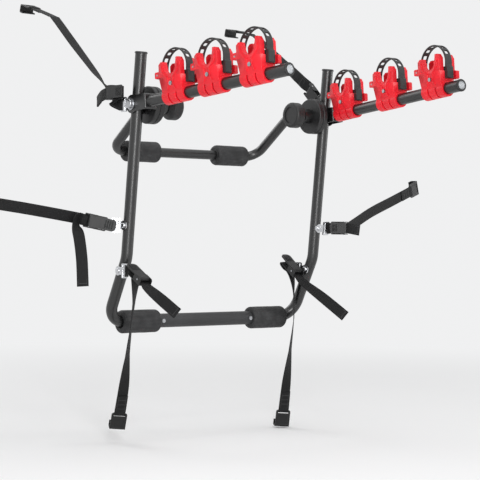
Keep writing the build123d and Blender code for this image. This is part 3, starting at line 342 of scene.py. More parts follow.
def mouldedPlastic(name, colour, rough, grain=1400.0):
    f = Finish(name)
    where = f.place()
    pits = f.noise(where, grain, 2.0, 0.5)
    cloud = f.noise(where, 22.0, 3.0)
    rub = f.noise(where, 130.0, 5.0, 0.7).ramp(0.62, 0.8)
    base = f.blendColour(cloud.ramp(0.3, 0.7), colour, tuple(c * 0.84 for c in colour))
    base = f.blendColour(rub * 0.22, base, tuple(min(1, c * 1.35 + 0.01) for c in colour))
    return f.finish(Base_Color=base, Roughness=rough + pits * 0.08 + rub * 0.06,
                    Normal=f.bump(pits, 0.0001, 0.4))


def foamSkin(name, colour):  # closed-cell sleeve with fine pores, with painted shade in the pores
    f = Finish(name)
    where = f.place()
    pores = f.cells(where, 620.0)
    lumps = f.noise(where, 55.0, 4.0, 0.6)
    sheenPatch = f.noise(f.stretch(where, (6, 30, 30)), 4.0, 3.0).ramp(0.4, 0.62)
    base = f.blendColour(lumps.ramp(0.35, 0.7), colour, tuple(c * 1.7 + 0.004 for c in colour))
    # painted shade: the pore cells are painted darker where the bump pits them
    base = f.blendColour(pores.ramp(0.0, 0.45), tuple(c * 0.55 for c in colour), base)
    soft = f.bump(lumps, 0.0009, 0.5)
    return f.finish(Base_Color=base, Roughness=0.62 + sheenPatch * 0.14,
                    Normal=f.bump(pores, 0.00022, 0.5, soft))


def platedSteel(name, colour, rough):
    f = Finish(name)
    where = f.place()
    lines = f.noise(f.stretch(where, (30, 30, 900)), 1.0, 3.0, 0.6)
    cloud = f.noise(where, 70.0, 4.0, 0.6)
    stain = f.noise(where, 300.0, 4.0, 0.7).ramp(0.66, 0.82)
    base = f.blendColour(cloud.ramp(0.3, 0.7), colour, tuple(c * 0.8 for c in colour))
    base = f.blendColour(stain * 0.4, base, tuple(c * 0.45 for c in colour))
    return f.finish(Base_Color=base, Metallic=1.0, Roughness=rough + lines * 0.12 + stain * 0.15,
                    Normal=f.bump(lines, 0.00006, 0.4))


def rubberSkin(name, colour):
    f = Finish(name)
    where = f.place()
    grain = f.noise(where, 1100.0, 3.0, 0.6)
    bloom = f.noise(where, 45.0, 4.0, 0.65).ramp(0.45, 0.75)
    base = f.blendColour(bloom * 0.5, colour, tuple(c * 1.8 + 0.01 for c in colour))
    return f.finish(Base_Color=base, Roughness=0.46 + bloom * 0.14 + grain * 0.06,
                    Normal=f.bump(grain, 0.0001, 0.35))


# Counts are for a metre of strap, and places are distances from its middle
weave = {
    "chevrons": 250.0, "slant": 3.2, "ribs": 620.0, "threads": 1300.0,
    "selvedge": (0.0108, 0.0119),
    "seamAt": 0.0088, "seamHalf": 0.0005, "stitches": 330.0, "stitchShare": 0.68,
    "tacks": 95.0, "tackShare": 0.05, "tackEnd": 0.0086, "yarn": (0.05, 0.05, 0.052),
}


def wovenWebbing(name, colour):  # UV runs in metres, u along the strap and v across it
    f = Finish(name)
    u, v, _ = f.split(f.node("ShaderNodeUVMap", {"uv_map": "UVMap"}))
    sewn = f.node("ShaderNodeAttribute", {"attribute_name": "sewn"}, out="Fac")
    band = abs((v * weave["chevrons"] + 0.25).fraction() - 0.5)
    rib = ((u * weave["ribs"] + band * weave["slant"]) * math.tau).sine() * 0.5 + 0.5
    thread = (v * math.tau * weave["threads"]).sine() * 0.5 + 0.5
    cloth = rib * 0.65 + thread * 0.35
    edge = abs(v).ramp(*weave["selvedge"])
    fuzz = f.noise(f.place(), 1800.0, 2.0, 0.7)
    worn = f.noise(f.place(), 38.0, 4.0, 0.65).ramp(0.5, 0.72)
    onSeam = abs(abs(v) - weave["seamAt"]) < weave["seamHalf"]
    row = onSeam * ((u * weave["stitches"]).fraction() < weave["stitchShare"])
    onTack = abs((u * weave["tacks"]).fraction() - 0.5) < weave["tackShare"]
    tack = onTack * (abs(v) < weave["tackEnd"])
    stitch = row.biggest(tack) * (sewn > 0.5)
    # painted shade and painted highlight: the weave's grooves are painted darker and its ribs
    # lighter, following the bump's height
    weaveGrooveShade = tuple(c * 0.45 for c in colour)
    base = f.blendColour(cloth, weaveGrooveShade, tuple(c * 1.35 for c in colour))
    base = f.blendColour(edge * 0.5, base, tuple(c * 1.5 for c in colour))
    base = f.blendColour(worn * 0.35, base, tuple(c * 2.0 + 0.006 for c in colour))
    base = f.blendColour(stitch, base, weave["yarn"])
    height = cloth * (1 - edge * 0.6) + fuzz * 0.25 + edge * 0.3 + stitch * 1.6
    return f.finish(Base_Color=base, Specular_IOR_Level=0.22,
                    Roughness=0.62 + worn * 0.12 - stitch * 0.1,
                    Normal=f.bump(height, 0.0003, 0.55))


def armCapFinish(name, colour, domeHighlightColour, ends, radius):  # a black rim round a dome painted pale grey: a painted highlight on the cap's dome
    f = Finish(name)
    where = f.place()
    pits = f.noise(where, 1300.0, 2.0, 0.5)
    cloud = f.noise(where, 90.0, 4.0, 0.6)
    dome = None
    for end in ends:
        away = f.node("ShaderNodeVectorMath", {"operation": "DISTANCE"}, where, end, out="Value")
        inside = away < radius
        dome = inside if dome is None else dome.biggest(inside)
    base = f.blendColour(cloud.ramp(0.3, 0.7), colour, tuple(c * 0.7 for c in colour))
    # painted highlight: a pale grey disc painted in the middle of each arm end
    paintedDomeHighlight = f.blendColour(cloud.ramp(0.3, 0.7), domeHighlightColour, tuple(c * 0.8 for c in domeHighlightColour))
    return f.finish(Base_Color=f.blendColour(dome, base, paintedDomeHighlight),
                    Roughness=0.45 - dome * 0.12 + pits * 0.08,
                    Normal=f.bump(pits, 0.0001, 0.35))


arm = {"hinge": (0.268, -0.138, 0.477), "tilt": 5, "toe": 4, "fork": 0.05, "tube": 0.43,
       "dome": 0.0088}


def armEnd(side):  # middle of the arm's end, worked out from its tilt and toe
    tilt, toe = math.radians(arm["tilt"]), math.radians(arm["toe"])
    reach = Vector((0, -math.cos(tilt), math.sin(tilt)))
    along = reach * math.cos(toe) - Vector((side * math.sin(toe), 0, 0))
    out, back, up = arm["hinge"]
    return Vector((side * out, back, up)) + reach * arm["fork"] + along * arm["tube"]


finishes = {
    "tube": powderCoat("blackTube", (0.005, 0.0052, 0.0055), 0.34, 0.8),
    "bar": powderCoat("greyBar", (0.042, 0.043, 0.045), 0.5, 0.35),
    "plastic": mouldedPlastic("blackPlastic", (0.014, 0.0143, 0.015), 0.44),
    "buckle": powderCoat("blackBuckle", (0.009, 0.0092, 0.0096), 0.46, 0.4),
    "hook": powderCoat("blackHook", (0.009, 0.0092, 0.0096), 0.46, 0.4),
    "foam": foamSkin("blackFoam", (0.017, 0.0172, 0.018)),
    "red": mouldedPlastic("redPlastic", (0.86, 0.009, 0.022), 0.36, 900.0),
    "rubber": rubberSkin("blackRubber", (0.017, 0.0172, 0.0175)),
    "plate": platedSteel("brightPlate", (0.66, 0.67, 0.69), 0.18),
    "zinc": platedSteel("zincSteel", (0.5, 0.51, 0.53), 0.26),
    "webbing": wovenWebbing("blackWebbing", (0.009, 0.0092, 0.0096)),
    # the second colour of the arm caps is a painted highlight on their domes
    "armCap": armCapFinish("armCap", (0.012, 0.0122, 0.0126), (0.5, 0.52, 0.54),
                           (armEnd(-1), armEnd(1)), arm["dome"]),
}
wears = {
    "tube": ["{s}_leg_tube", "{s}_arm_bracket", "{s}_arm_tube", "hoop_tube", "hoop_pivot_eyes"],
    "bar": ["lower_bar"],
    "plastic": ["{s}_hub_disc", "{s}_hoop_disc", "{s}_knob", "leg_top_caps"],
    "buckle": ["buckle_bodies", "top_{s}_lever", "side_{s}_lever", "bottom_{s}_lever"],
    "hook": ["strap_hooks"],
    "foam": ["{s}_lower_roller", "{s}_upper_roller"],
    "red": ["{s}_cradle_1", "{s}_cradle_2", "{s}_cradle_3"],
    "rubber": ["{s}_ladder_strap_1", "{s}_ladder_strap_2", "{s}_ladder_strap_3"],
    "plate": ["strap_brackets", "bracket_rivets"],
    "zinc": ["hub_bolts", "hub_washers", "lower_bar_screws", "{s}_knob_nut", "{s}_clamp_screws",
             "{s}_strap_pins", "lever_pins"],
    "webbing": ["top_{s}_strap", "side_{s}_strap", "bottom_{s}_strap"],
    "armCap": ["{s}_arm_cap"],
}


def paint(obj, finish):
    obj.data.materials.clear()
    obj.data.materials.append(finishes[finish])


for finish, patterns in wears.items():
    for pattern in patterns:
        for name in sorted({pattern.format(s=side) for side in ("left", "right")}):
            paint(nodes[name], finish)
print("finishes on the frame's nodes")


# Webbing
webbing = {
    "width": 0.025, "thick": 0.0016, "step": 0.004, "fold": 0.042, "hem": 0.019,
    "layerGap": 0.00006, "edgeRound": 0.0004, "seamStart": 0.004, "seamEnd": 0.002,
    "hookSeam": (0.012, 0.022),       # where the fold's seam starts and ends on the upper layer
    # half length and half height of the webbing's way round each bar
    "roundHook": (0.0030, 0.00245), "roundBuckle": (0.00235, 0.00205),
    "roundBracket": (0.0031, 0.0023),
}
# The way round a bar, from one layer to the middle of the far end, in halves of the section
barShares = ((-0.4, 1), (0.5, 0.98), (0.9, 0.7), (1, 0.25))
# Each station is a point of the strap's middle and the direction of its width, in metres.
# The first ones of a run, as many as fixed says, are at the buckle and are taken as they are.
# The bars are the middles of the bracket's, the buckle's and the hook's bar.
straps = {
    "top_left": {
        "fixed": 9,
        "tail": (
            ((-0.3043, -0.078, 0.503), (0, 0, -1)), ((-0.3043, -0.073, 0.503), (0, 0, -1)),
            ((-0.3035, -0.05, 0.498), (0, 0.2, -0.98)),
            ((-0.299, -0.026, 0.488), (0, 0.36, -0.93)),
        ),
        "run": (
            ((-0.3043, -0.078, 0.503), (0, 0, -1)), ((-0.3043, -0.1101, 0.503), (0, 0, -1)),
            ((-0.3043, -0.1124, 0.503), (0, 0, -1)), ((-0.3033, -0.1135, 0.503), (0, 0, -1)),
            ((-0.302, -0.1138, 0.503), (0, 0, -1)), ((-0.3007, -0.1135, 0.503), (0, 0, -1)),
            ((-0.2998, -0.1124, 0.503), (0, 0, -1)), ((-0.2994, -0.1101, 0.503), (0, 0, -1)),
            ((-0.2994, -0.073, 0.503), (0, 0, -1)), ((-0.28, -0.04, 0.512), (0.44, 0.34, -0.83)),
            ((-0.274, 0.02, 0.556), (0.96, 0, -0.29)), ((-0.267, 0.12, 0.629), (1, 0, 0)),
            ((-0.262, 0.208, 0.696), (1, 0, 0)), ((-0.261, 0.228, 0.706), (1, 0, 0)),
            ((-0.258, 0.311, 0.733), (1, 0, 0)),
        ),
        "loop": (
            ((-0.2877, -0.1022, 0.477), (0, 0, 1)), ((-0.2877, -0.1006, 0.477), (0, 0, 1)),
            ((-0.288, -0.091, 0.48), (0, 0, 1)), ((-0.2888, -0.083, 0.483), (0, 0, 1)),
            ((-0.292, -0.0785, 0.487), (0, 0, 1)), ((-0.2954, -0.083, 0.491), (0, 0, 1)),
            ((-0.296, -0.095, 0.496), (0, 0, 1)), ((-0.2962, -0.112, 0.502), (0, 0, 1)),
            ((-0.2962, -0.119, 0.503), (0, 0, 1)), ((-0.2983, -0.1245, 0.503), (0, 0, 1)),
            ((-0.2983, -0.1285, 0.503), (0, 0, 1)),
        ),
        "bars": ((-0.2877, -0.106, 0.477), (-0.302, -0.1267, 0.503), (-0.2579, 0.3146, 0.7342)),
    },
    "top_right": {
        "fixed": 9,
        "tail": (
            ((0.2867, -0.0609, 0.5526), (0, 0.69, -0.72)),
            ((0.2867, -0.0573, 0.5561), (0, 0.69, -0.72)),
            ((0.2835, -0.046, 0.563), (0, 0.69, -0.72)), ((0.28, -0.034, 0.575), (0, 0.69, -0.72)),
        ),
        "run": (
            ((0.2867, -0.0609, 0.5526), (0, 0.69, -0.72)),
            ((0.2867, -0.0841, 0.5304), (0, 0.69, -0.72)),
            ((0.2868, -0.0857, 0.5288), (0, 0.69, -0.72)),
            ((0.2877, -0.0865, 0.528), (0, 0.69, -0.72)),
            ((0.289, -0.0867, 0.5278), (0, 0.69, -0.72)),
            ((0.2903, -0.0865, 0.528), (0, 0.69, -0.72)),
            ((0.2913, -0.0857, 0.5288), (0, 0.69, -0.72)),
            ((0.2916, -0.0841, 0.5304), (0, 0.69, -0.72)),
            ((0.2916, -0.0573, 0.5561), (0, 0.69, -0.72)),
            ((0.286, -0.03, 0.575), (-0.5, 0.56, -0.67)), ((0.276, 0.03, 0.625), (-0.98, 0, -0.2)),
            ((0.262, 0.1, 0.682), (-1, 0, 0)), ((0.2615, 0.118, 0.693), (-1, 0, 0)),
            ((0.261, 0.175, 0.708), (-1, 0, 0)),
        ),
        "loop": (
            ((0.2877, -0.1127, 0.5023), (0, 0.71, -0.71)),
            ((0.2877, -0.1115, 0.5034), (0, 0.71, -0.71)),
            ((0.289, -0.0994, 0.5157), (0, 0.69, -0.72)),
            ((0.289, -0.0983, 0.5168), (0, 0.69, -0.72)),
        ),
        "bars": ((0.2877, -0.1154, 0.4996), (0.289, -0.0961, 0.5189), (0.261, 0.1787, 0.7089)),
    },
    "side_left": {
        "fixed": 9,
        "tail": (
            ((-0.3508, -0.0578, 0.2267), (-0.18, 0.1, -0.98)),
            ((-0.355, -0.0555, 0.2277), (-0.18, 0.1, -0.98)),
            ((-0.365, -0.0575, 0.229), (-0.05, 0.1, -0.99)),
            ((-0.376, -0.066, 0.217), (0.49, -0.11, -0.87)),
            ((-0.378, -0.082, 0.185), (0.79, -0.62, 0)),
            ((-0.379, -0.094, 0.14), (0.79, -0.62, 0)),
            ((-0.383, -0.105, 0.085), (0.79, -0.62, 0)),
        ),
        "run": (
            ((-0.3507, -0.0578, 0.2267), (-0.18, 0.1, -0.98)),
            ((-0.323, -0.0727, 0.2201), (-0.18, 0.1, -0.98)),
            ((-0.321, -0.0737, 0.2197), (-0.18, 0.1, -0.98)),
            ((-0.3196, -0.0733, 0.2195), (-0.18, 0.1, -0.98)),
            ((-0.3187, -0.0723, 0.2194), (-0.18, 0.1, -0.98)),
            ((-0.3184, -0.0711, 0.2195), (-0.18, 0.1, -0.98)),
            ((-0.3189, -0.0697, 0.2197), (-0.18, 0.1, -0.98)),
            ((-0.3207, -0.0683, 0.2201), (-0.18, 0.1, -0.98)),
            ((-0.3527, -0.0512, 0.2277), (-0.18, 0.1, -0.98)),
            ((-0.375, -0.048, 0.232), (-0.18, 0.09, -0.98)), ((-0.48, -0.039, 0.248), (0, 0, -1)),
            ((-0.585, -0.03, 0.262), (0, 0, -1)), ((-0.65, -0.024, 0.271), (0, 0, -1)),
        ),
        "loop": (
            ((-0.3001, -0.084, 0.215), (0, 0, -1)), ((-0.3014, -0.0831, 0.215), (0, 0, -1)),
            ((-0.3035, -0.0804, 0.2158), (-0.18, 0.1, -0.98)),
            ((-0.3049, -0.0797, 0.2161), (-0.18, 0.1, -0.98)),
        ),
        "bars": ((-0.297, -0.0862, 0.215), (-0.3076, -0.0783, 0.2168), (-0.6538, -0.0236, 0.2715)),
    },
    "side_right": {
        "fixed": 9,
        "tail": (
            ((0.361, -0.114, 0.215), (0, 0, 1)), ((0.3659, -0.1133, 0.215), (0, 0, 1)),
            ((0.372, -0.118, 0.214), (0, 0, 1)), ((0.4, -0.121, 0.21), (0, 0, 1)),
        ),
        "run": (
            ((0.361, -0.114, 0.215), (0, 0, 1)), ((0.3292, -0.1185, 0.215), (0, 0, 1)),
            ((0.3269, -0.1187, 0.215), (0, 0, 1)), ((0.3257, -0.1179, 0.215), (0, 0, 1)),
            ((0.3252, -0.1167, 0.215), (0, 0, 1)), ((0.3253, -0.1154, 0.215), (0, 0, 1)),
            ((0.3263, -0.1143, 0.215), (0, 0, 1)), ((0.3285, -0.1136, 0.215), (0, 0, 1)),
            ((0.3652, -0.1084, 0.215), (0, 0, 1)), ((0.372, -0.1089, 0.2153), (0, 0, 1)),
            ((0.41, -0.097, 0.229), (0, 0, 1)), ((0.48, -0.078, 0.256), (0, 0, 1)),
            ((0.57, -0.057, 0.285), (0, 0, 1)), ((0.65, -0.038, 0.311), (0, 0, 1)),
        ),
        "loop": (
            ((0.3038, -0.1198, 0.2138), (0, -0.11, 0.99)),
            ((0.3053, -0.1196, 0.2138), (0, -0.11, 0.99)), ((0.3078, -0.1192, 0.215), (0, 0, 1)),
            ((0.3094, -0.1189, 0.215), (0, 0, 1)),
        ),
        "bars": ((0.3, -0.1203, 0.2138), (0.3124, -0.1185, 0.215), (0.6535, -0.0372, 0.3121)),
    },
    "bottom_left": {
        "fixed": 7,
        "tail": (
            ((-0.281, -0.1915, 0.0889), (1, 0, 0)), ((-0.281, -0.1959, 0.0866), (1, 0, 0)),
            ((-0.28, -0.204, 0.08), (0.97, -0.1, 0.2)),
            ((-0.273, -0.24, 0.058), (0.74, -0.3, 0.6)),
            ((-0.262, -0.281, 0.031), (0.45, -0.39, 0.8)),
        ),
        "run": (
            ((-0.281, -0.1915, 0.089), (1, 0, 0)), ((-0.281, -0.1633, 0.1043), (1, 0, 0)),
            ((-0.281, -0.1613, 0.1054), (1, 0, 0)), ((-0.281, -0.1598, 0.1051), (1, 0, 0)),
            ((-0.281, -0.1589, 0.1041), (1, 0, 0)), ((-0.281, -0.158, 0.1023), (1, 0, 0)),
            ((-0.281, -0.1569, 0.1004), (1, 0, 0)), ((-0.279, -0.151, 0.082), (0.91, 0.41, 0)),
            ((-0.275, -0.141, 0.05), (0.71, 0.71, 0)), ((-0.27, -0.124, 0), (0.62, 0.78, 0)),
            ((-0.262, -0.098, -0.07), (0.8, 0.6, 0)), ((-0.253, -0.072, -0.14), (0.99, -0.1, 0)),
            ((-0.247, -0.048, -0.2), (0.9, -0.44, 0)),
        ),
        "loop": (
            ((-0.2819, -0.1258, 0.116), (0, 0, 1)), ((-0.2819, -0.1274, 0.116), (0, 0, 1)),
            ((-0.2818, -0.131, 0.1156), (0.29, 0, 0.96)),
            ((-0.2816, -0.135, 0.1145), (0.71, 0, 0.71)),
            ((-0.2813, -0.14, 0.1126), (0.97, 0, 0.24)), ((-0.281, -0.1435, 0.1125), (1, 0, 0)),
            ((-0.281, -0.1449, 0.1117), (1, 0, 0)),
        ),
        "bars": ((-0.2819, -0.122, 0.116), (-0.281, -0.1476, 0.1103), (-0.2467, -0.0466, -0.2035)),
    },
    "bottom_right": {
        "fixed": 7,
        "tail": (
            ((0.233, -0.089, 0.0996), (1, 0, 0)), ((0.233, -0.093, 0.0966), (1, 0, 0)),
            ((0.237, -0.11, 0.082), (0.97, -0.1, 0.2)), ((0.246, -0.165, 0.05), (0.74, -0.3, 0.6)),
            ((0.262, -0.224, 0.01), (0.45, -0.39, 0.8)),
        ),
        "run": (
            ((0.233, -0.089, 0.0996), (1, 0, 0)), ((0.233, -0.0633, 0.1189), (1, 0, 0)),
            ((0.233, -0.0614, 0.1202), (1, 0, 0)), ((0.233, -0.06, 0.1201), (1, 0, 0)),
            ((0.233, -0.059, 0.1193), (1, 0, 0)), ((0.233, -0.0578, 0.1177), (1, 0, 0)),
            ((0.233, -0.0564, 0.1159), (1, 0, 0)), ((0.238, -0.061, 0.096), (0.93, 0.36, 0)),
            ((0.241, -0.064, 0.06), (0.71, 0.71, 0)), ((0.243, -0.063, 0), (0.62, 0.78, 0)),
            ((0.243, -0.05, -0.08), (0.8, 0.6, 0)), ((0.243, -0.037, -0.16), (0.99, -0.1, 0)),
            ((0.244, -0.026, -0.225), (0.9, -0.44, 0)),
        ),
        "loop": (
            ((0.254, -0.0542, 0.116), (0, 0, 1)), ((0.254, -0.0526, 0.116), (0, 0, 1)),
            ((0.2535, -0.05, 0.116), (0.15, 0, 0.99)), ((0.25, -0.04, 0.118), (0.45, 0, 0.89)),
            ((0.243, -0.034, 0.123), (0.86, 0, 0.51)), ((0.2345, -0.037, 0.131), (0.99, 0, 0.15)),
            ((0.233, -0.0449, 0.1298), (1, 0, 0)), ((0.233, -0.0462, 0.1289), (1, 0, 0)),
        ),
        "bars": ((0.254, -0.058, 0.116), (0.233, -0.0486, 0.127), (0.2441, -0.0254, -0.2287)),
    },
}


def throughStations(stations, step):  # a smooth line through them, about step apart
    points = [Vector(p) for p, w in stations]
    widths = [Vector(w).normalized() for p, w in stations]
    line = []
    for i in range(len(points) - 1):
        a, b = points[max(i - 1, 0)], points[i]
        c, d = points[i + 1], points[min(i + 2, len(points) - 1)]
        parts = max(1, round((c - b).length / step))
        for k in range(parts):
            t = k / parts
            spot = (b * 2 + (c - a) * t + (a * 2 - b * 5 + c * 4 - d) * t ** 2
                    + (b * 3 - a - c * 3 + d) * t ** 3) * 0.5
            line.append((spot, widths[i].lerp(widths[i + 1], t)))
    line.append((points[-1], widths[-1]))
    return line


def straightStations(stations):
    return [(Vector(p), Vector(w).normalized()) for p, w in stations]


def framesOf(line):  # adds the tangent and the outward side at every point
    out = []
    for i, (spot, width) in enumerate(line):
        ahead = line[min(i + 1, len(line) - 1)][0] - line[max(i - 1, 0)][0]
        ahead.normalize()
        width = (width - ahead * width.dot(ahead)).normalized()
        out.append((spot, width, ahead, width.cross(ahead).normalized()))
    return out


def lengthOf(line):
    return sum((b[0] - a[0]).length for a, b in zip(line, line[1:]))


def offsetLine(line, amount):
    return [(spot + side * amount, width) for spot, width, ahead, side in framesOf(line)]


def lastPart(line, length):  # the end of a line, that length of it
    kept = [line[-1]]
    left = length
    for spot, width in reversed(line[:-1]):
        gap = (kept[-1][0] - spot).length
        if gap >= left:
            share = left / gap
            kept.append((kept[-1][0].lerp(spot, share), kept[-1][1].lerp(width, share)))
            break
        kept.append((spot, width))
        left -= gap
    return kept[::-1]


def turnRound(centre, ahead, side, width, size):
    # round a bar's section, from the +side layer over the far end to the -side layer
    halfLong, halfThick = size
    shares = barShares + tuple((x, -y) for x, y in reversed(barShares))
    return [(centre + ahead * (halfLong * x) + side * (halfThick * y), width) for x, y in shares]


def ribbon(name, line, thick, sewnAt, closed=False):
    rows = len(line)
    clearSelection()
    bpy.ops.mesh.primitive_grid_add(x_subdivisions=rows - 1, y_subdivisions=4, size=1)
    strap = bpy.context.object
    stops = [0.0]
    for i in range(1, rows):
        stops.append(stops[-1] + (line[i][0] - line[i - 1][0]).length)
    laid = framesOf(line)
    if closed:  # the two ends of a loop share one direction
        ahead = (line[1][0] - line[-2][0]).normalized()
        for k in (0, -1):
            spot, width = line[k]
            width = (width - ahead * width.dot(ahead)).normalized()
            laid[k] = (line[0][0], width, ahead, width.cross(ahead).normalized())
    mesh = strap.data
    sewn = mesh.attributes.new("sewn", "FLOAT", "POINT")
    layer = mesh.uv_layers["UVMap"]
    placeOf = {}
    for vertex in mesh.vertices:
        i = round((vertex.co.x + 0.5) * (rows - 1))
        v = vertex.co.y * webbing["width"]
        spot, width, ahead, side = laid[i]
        placeOf[vertex.index] = (stops[i], v)
        sewn.data[vertex.index].value = 1.0 if any(
            low <= stops[i] <= high for low, high in sewnAt) else 0.0
        vertex.co = spot + width * v
    for loop in mesh.loops:
        layer.data[loop.index].uv = placeOf[loop.vertex_index]
    if closed:  # the two ends lie on each other and become one row
        pickOnly(strap)
        bpy.ops.object.mode_set(mode="EDIT")
        bpy.ops.mesh.select_all(action="SELECT")
        bpy.ops.mesh.remove_doubles(threshold=weld["hair"])
        bpy.ops.object.mode_set(mode="OBJECT")
    solid = strap.modifiers.new("thickness", "SOLIDIFY")
    solid.thickness = thick
    solid.offset = 0
    solid.use_even_offset = False
    bevel = strap.modifiers.new("edge", "BEVEL")
    bevel.width = min(webbing["edgeRound"], thick * 0.3)
    bevel.segments = 2
    bevel.limit_method = "ANGLE"
    bevel.angle_limit = math.radians(60)
    bakeModifiers(strap)
    settle(strap, name)
    smooth(strap, 50)
    strap.data.materials.append(finishes["webbing"])
    return strap


def layStrap(name, data):
    thick = webbing["thick"]
    layer = thick + webbing["layerGap"]
    tail = throughStations(data["tail"][1:], webbing["step"])
    run = straightStations(data["run"][:data["fixed"]])
    run += throughStations(data["run"][data["fixed"] - 1:], webbing["step"])[1:]
    bracketBar, buckleBar, hookBar = (Vector(bar) for bar in data["bars"])
    # one strap: hemmed tail, buckle, main run, then round the hook's bar and sewn back
    line = tail[::-1] + straightStations(data["tail"][:1]) + run[1:]
    placed = framesOf(line)
    spot, width, ahead, side = placed[-1]
    turn = turnRound(hookBar, ahead, side, width, webbing["roundHook"])
    back = offsetLine(lastPart(line, webbing["fold"]), -layer)[::-1]
    spot, width, ahead, side = placed[0]
    hem = offsetLine(lastPart(line[::-1], webbing["hem"])[::-1], -layer)[::-1]
    tip = [(spot - ahead * thick * out - side * layer * down, width)
           for out, down in ((0.35, 0.85), (0.5, 0.5), (0.35, 0.15))]
    whole = hem + tip + line + turn + back[1:]
    total = lengthOf(whole)
    hemEnd, foldStart = webbing["hem"], total - webbing["fold"]
    seamStart, seamEnd = webbing["seamStart"], webbing["seamEnd"]
    upperFrom, upperTo = webbing["hookSeam"]
    strap = ribbon(name + "Webbing", whole, thick,
                   ((seamStart, hemEnd - seamEnd), (hemEnd + seamStart, hemEnd * 2 - seamEnd),
                    (foldStart - webbing["fold"] - upperFrom, foldStart - upperTo),
                    (foldStart + seamStart, total - seamStart)))
    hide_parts(name + "_strap")
    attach(strap, "main_frame")

    # the sewn loop that holds the buckle: two layers round both bars
    link = throughStations(data["loop"], webbing["step"] * 0.6)
    thin = 0.5 if name == "top_left" else 1.0
    half = layer * thin / 2
    over = offsetLine(link, half)
    under = offsetLine(link, -half)
    first, last = framesOf(link)[0], framesOf(link)[-1]
    far = turnRound(buckleBar, last[2], last[3], last[1], webbing["roundBuckle"])
    near = turnRound(bracketBar, -first[2], -first[3], first[1], webbing["roundBracket"])
    loopLine = over + far + under[::-1] + near + over[:1]
    length = lengthOf(link)
    loop = ribbon(name + "Loop", loopLine, thick * thin,
                  ((length * 0.12, length * 0.88),), closed=True)
    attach(loop, "main_frame")
    print(name, "strap", round(total, 3), "m")


for name, data in straps.items():
    layStrap(name, data)


# Foam rollers
roller = {
    "corner": 0.0065, "cornerSteps": 6, "spin": 96, "lengthParts": 14,
    "dish": 0.0006, "lip": 0.0006, "dishStart": 0.003, "dishEnd": 0.002,
    "ripple": 0.00022, "longWave": 95, "shortWave": 210,
}


def turned(name, start, steps, centre, axis, count):  # a profile spun round an axis
    clearSelection()
    bpy.ops.mesh.primitive_plane_add(size=0.001, location=start)
    obj = bpy.context.object
    bpy.ops.object.mode_set(mode="EDIT")
    bpy.ops.mesh.select_all(action="SELECT")
    bpy.ops.mesh.merge(type="CENTER")
    for step in steps:
        bpy.ops.mesh.extrude_region_move(TRANSFORM_OT_translate={"value": step})
    bpy.ops.mesh.select_all(action="SELECT")
    bpy.ops.mesh.spin(steps=count, angle=math.tau, center=centre, axis=axis)
    bpy.ops.mesh.select_all(action="SELECT")
    bpy.ops.mesh.remove_doubles(threshold=weld["points"])
    bpy.ops.mesh.normals_make_consistent(inside=False)
    bpy.ops.object.mode_set(mode="OBJECT")
    return settle(obj, name)


def foamRoller(node, body, bores):  # bores are the hole's radii from the inner end outwards
    low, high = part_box(node)
    middle = (low + high) / 2
    radius, half = (high.z - low.z) / 2, (high.x - low.x) / 2
    sense = 1 if middle.x > 0 else -1
    corner, dish = roller["corner"], roller["dish"]

    def face(bore):  # the end's dished face, from the bore to the corner
        return [(half, bore + roller["lip"]), (half - dish, bore + roller["dishStart"]),
                (half - dish * 0.3, radius - corner - roller["dishEnd"])]

    rounded = []
    for k in range(roller["cornerSteps"] + 1):
        turn = math.pi / 2 * k / roller["cornerSteps"]
        rounded.append((half - corner + corner * math.cos(turn),
                        radius - corner + corner * math.sin(turn)))
    straight = half - corner
    profile = [(share * half, bore) for share, bore in bores] + face(bores[-1][1]) + rounded
    profile += [(straight - straight * 2 * k / roller["lengthParts"], radius)
                for k in range(1, roller["lengthParts"])]
    profile += [(-x, r) for x, r in reversed(rounded)]
    profile += [(-x, r) for x, r in reversed(face(bores[0][1]))]
    profile.append((-half, bores[0][1]))
    places = [Vector((middle.x + sense * x, middle.y, middle.z + r)) for x, r in profile]
    steps = [b - a for a, b in zip(places, places[1:])]
    sleeve = turned(node + "Foam", places[0], steps, middle, (1, 0, 0), roller["spin"])
    seed = random.uniform(0, 6)
    longWave, shortWave = roller["longWave"], roller["shortWave"]
    for vertex in sleeve.data.vertices:  # the slight unevenness of cut foam
        away = Vector((0, vertex.co.y - middle.y, vertex.co.z - middle.z))
        if away.length > radius * 0.75:
            turn = math.atan2(away.z, away.y)
            wave = math.sin(vertex.co.x * longWave + seed) * math.sin(turn * 2 + seed) * 0.6
            wave += math.sin(vertex.co.x * shortWave + turn * 3 + seed * 2) * 0.4
            vertex.co += away.normalized() * wave * roller["ripple"]
    smooth(sleeve, 50)
    sleeve.data.materials.append(finishes["foam"])
    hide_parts(node)
    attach(sleeve, body)


for side in ("left", "right"):
    foamRoller(side + "_lower_roller", "main_frame",
               ((-1, 0.016), (0.6, 0.016), (0.62, 0.0147), (0.99, 0.0148)))
    foamRoller(side + "_upper_roller", "upper_hoop", ((-1, 0.0112), (0.99, 0.0112)))
print("foam rollers made")


# Moulded and rubber pieces, with softened edges
edges = {"sharp": 40, "open": 20, "smooth": 38, "shortest": 2}  # degrees, and widths of the bevel
softened = {
    "cradle": {"round": 0.0006, "steps": 2, "finish": "red", "slot": "red_plastic",
               "nodes": {"{s}_cradle_%d" % n: "{s}_arm" for n in (1, 2, 3)}},
    "ladder": {"round": 0.0006, "steps": 2, "finish": "rubber", "slot": "strap_rubber",
               "nodes": {"{s}_ladder_strap_%d" % n: "{s}_ladder_strap_%d" % n
                         for n in (1, 2, 3)}},
    "hooks": {"round": 0.0004, "steps": 2, "finish": "hook", "slot": "hook",
              "nodes": {"strap_hooks": "main_frame"}},
}


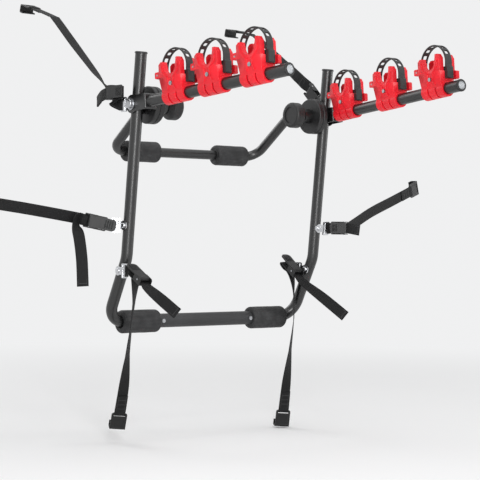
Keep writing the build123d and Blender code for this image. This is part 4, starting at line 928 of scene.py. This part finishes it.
def softEdges(piece, width):  # weights the sharp edges that are long and open enough to round
    mesh = bmesh.new()
    mesh.from_mesh(piece.data)
    weight = mesh.edges.layers.float.new("bevel_weight_edge")
    for edge in mesh.edges:
        sharp = edge.calc_face_angle(0) > math.radians(edges["sharp"])
        if sharp and edge.calc_length() > edges["shortest"] * width:
            corners = [loop.calc_angle() for face in edge.link_faces for loop in face.loops
                       if loop.vert in edge.verts]
            edge[weight] = 1 if min(corners) > math.radians(edges["open"]) else 0
    mesh.to_mesh(piece.data)
    mesh.free()


def soften(node, body, data):  # the frame's own shape, merged and with its edges rounded
    clearSelection()
    piece = nodes[node].copy()
    piece.data = nodes[node].data.copy()
    piece.parent = None
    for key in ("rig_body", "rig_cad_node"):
        if key in piece:
            del piece[key]
    bpy.context.scene.collection.objects.link(piece)
    pickOnly(piece)
    bpy.ops.object.mode_set(mode="EDIT")
    bpy.ops.mesh.select_all(action="SELECT")
    bpy.ops.mesh.remove_doubles(threshold=weld["points"])
    bpy.ops.object.mode_set(mode="OBJECT")
    softEdges(piece, data["round"])
    bevel = piece.modifiers.new("edge", "BEVEL")
    bevel.width = data["round"]
    bevel.segments = data["steps"]
    bevel.limit_method = "WEIGHT"
    bevel.use_clamp_overlap = False  # a few very short edges would stop it everywhere
    bakeModifiers(piece)
    pickOnly(piece)
    bpy.ops.object.mode_set(mode="EDIT")
    bpy.ops.mesh.select_all(action="SELECT")
    bpy.ops.mesh.dissolve_degenerate(threshold=weld["hair"])
    bpy.ops.object.mode_set(mode="OBJECT")
    settle(piece, node + "Soft")
    smooth(piece, edges["smooth"])
    flats = piece.modifiers.new("flats", "WEIGHTED_NORMAL")  # large faces shade as flat ones
    flats.keep_sharp = True
    bakeModifiers(piece)
    paint(piece, data["finish"])
    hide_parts(node)
    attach(piece, body)


for kind, data in softened.items():
    for node, body in data["nodes"].items():
        for side in ("left", "right") if "{s}" in node else ("",):
            soften(node.format(s=side), body.format(s=side), data)
    print(kind, "softened")
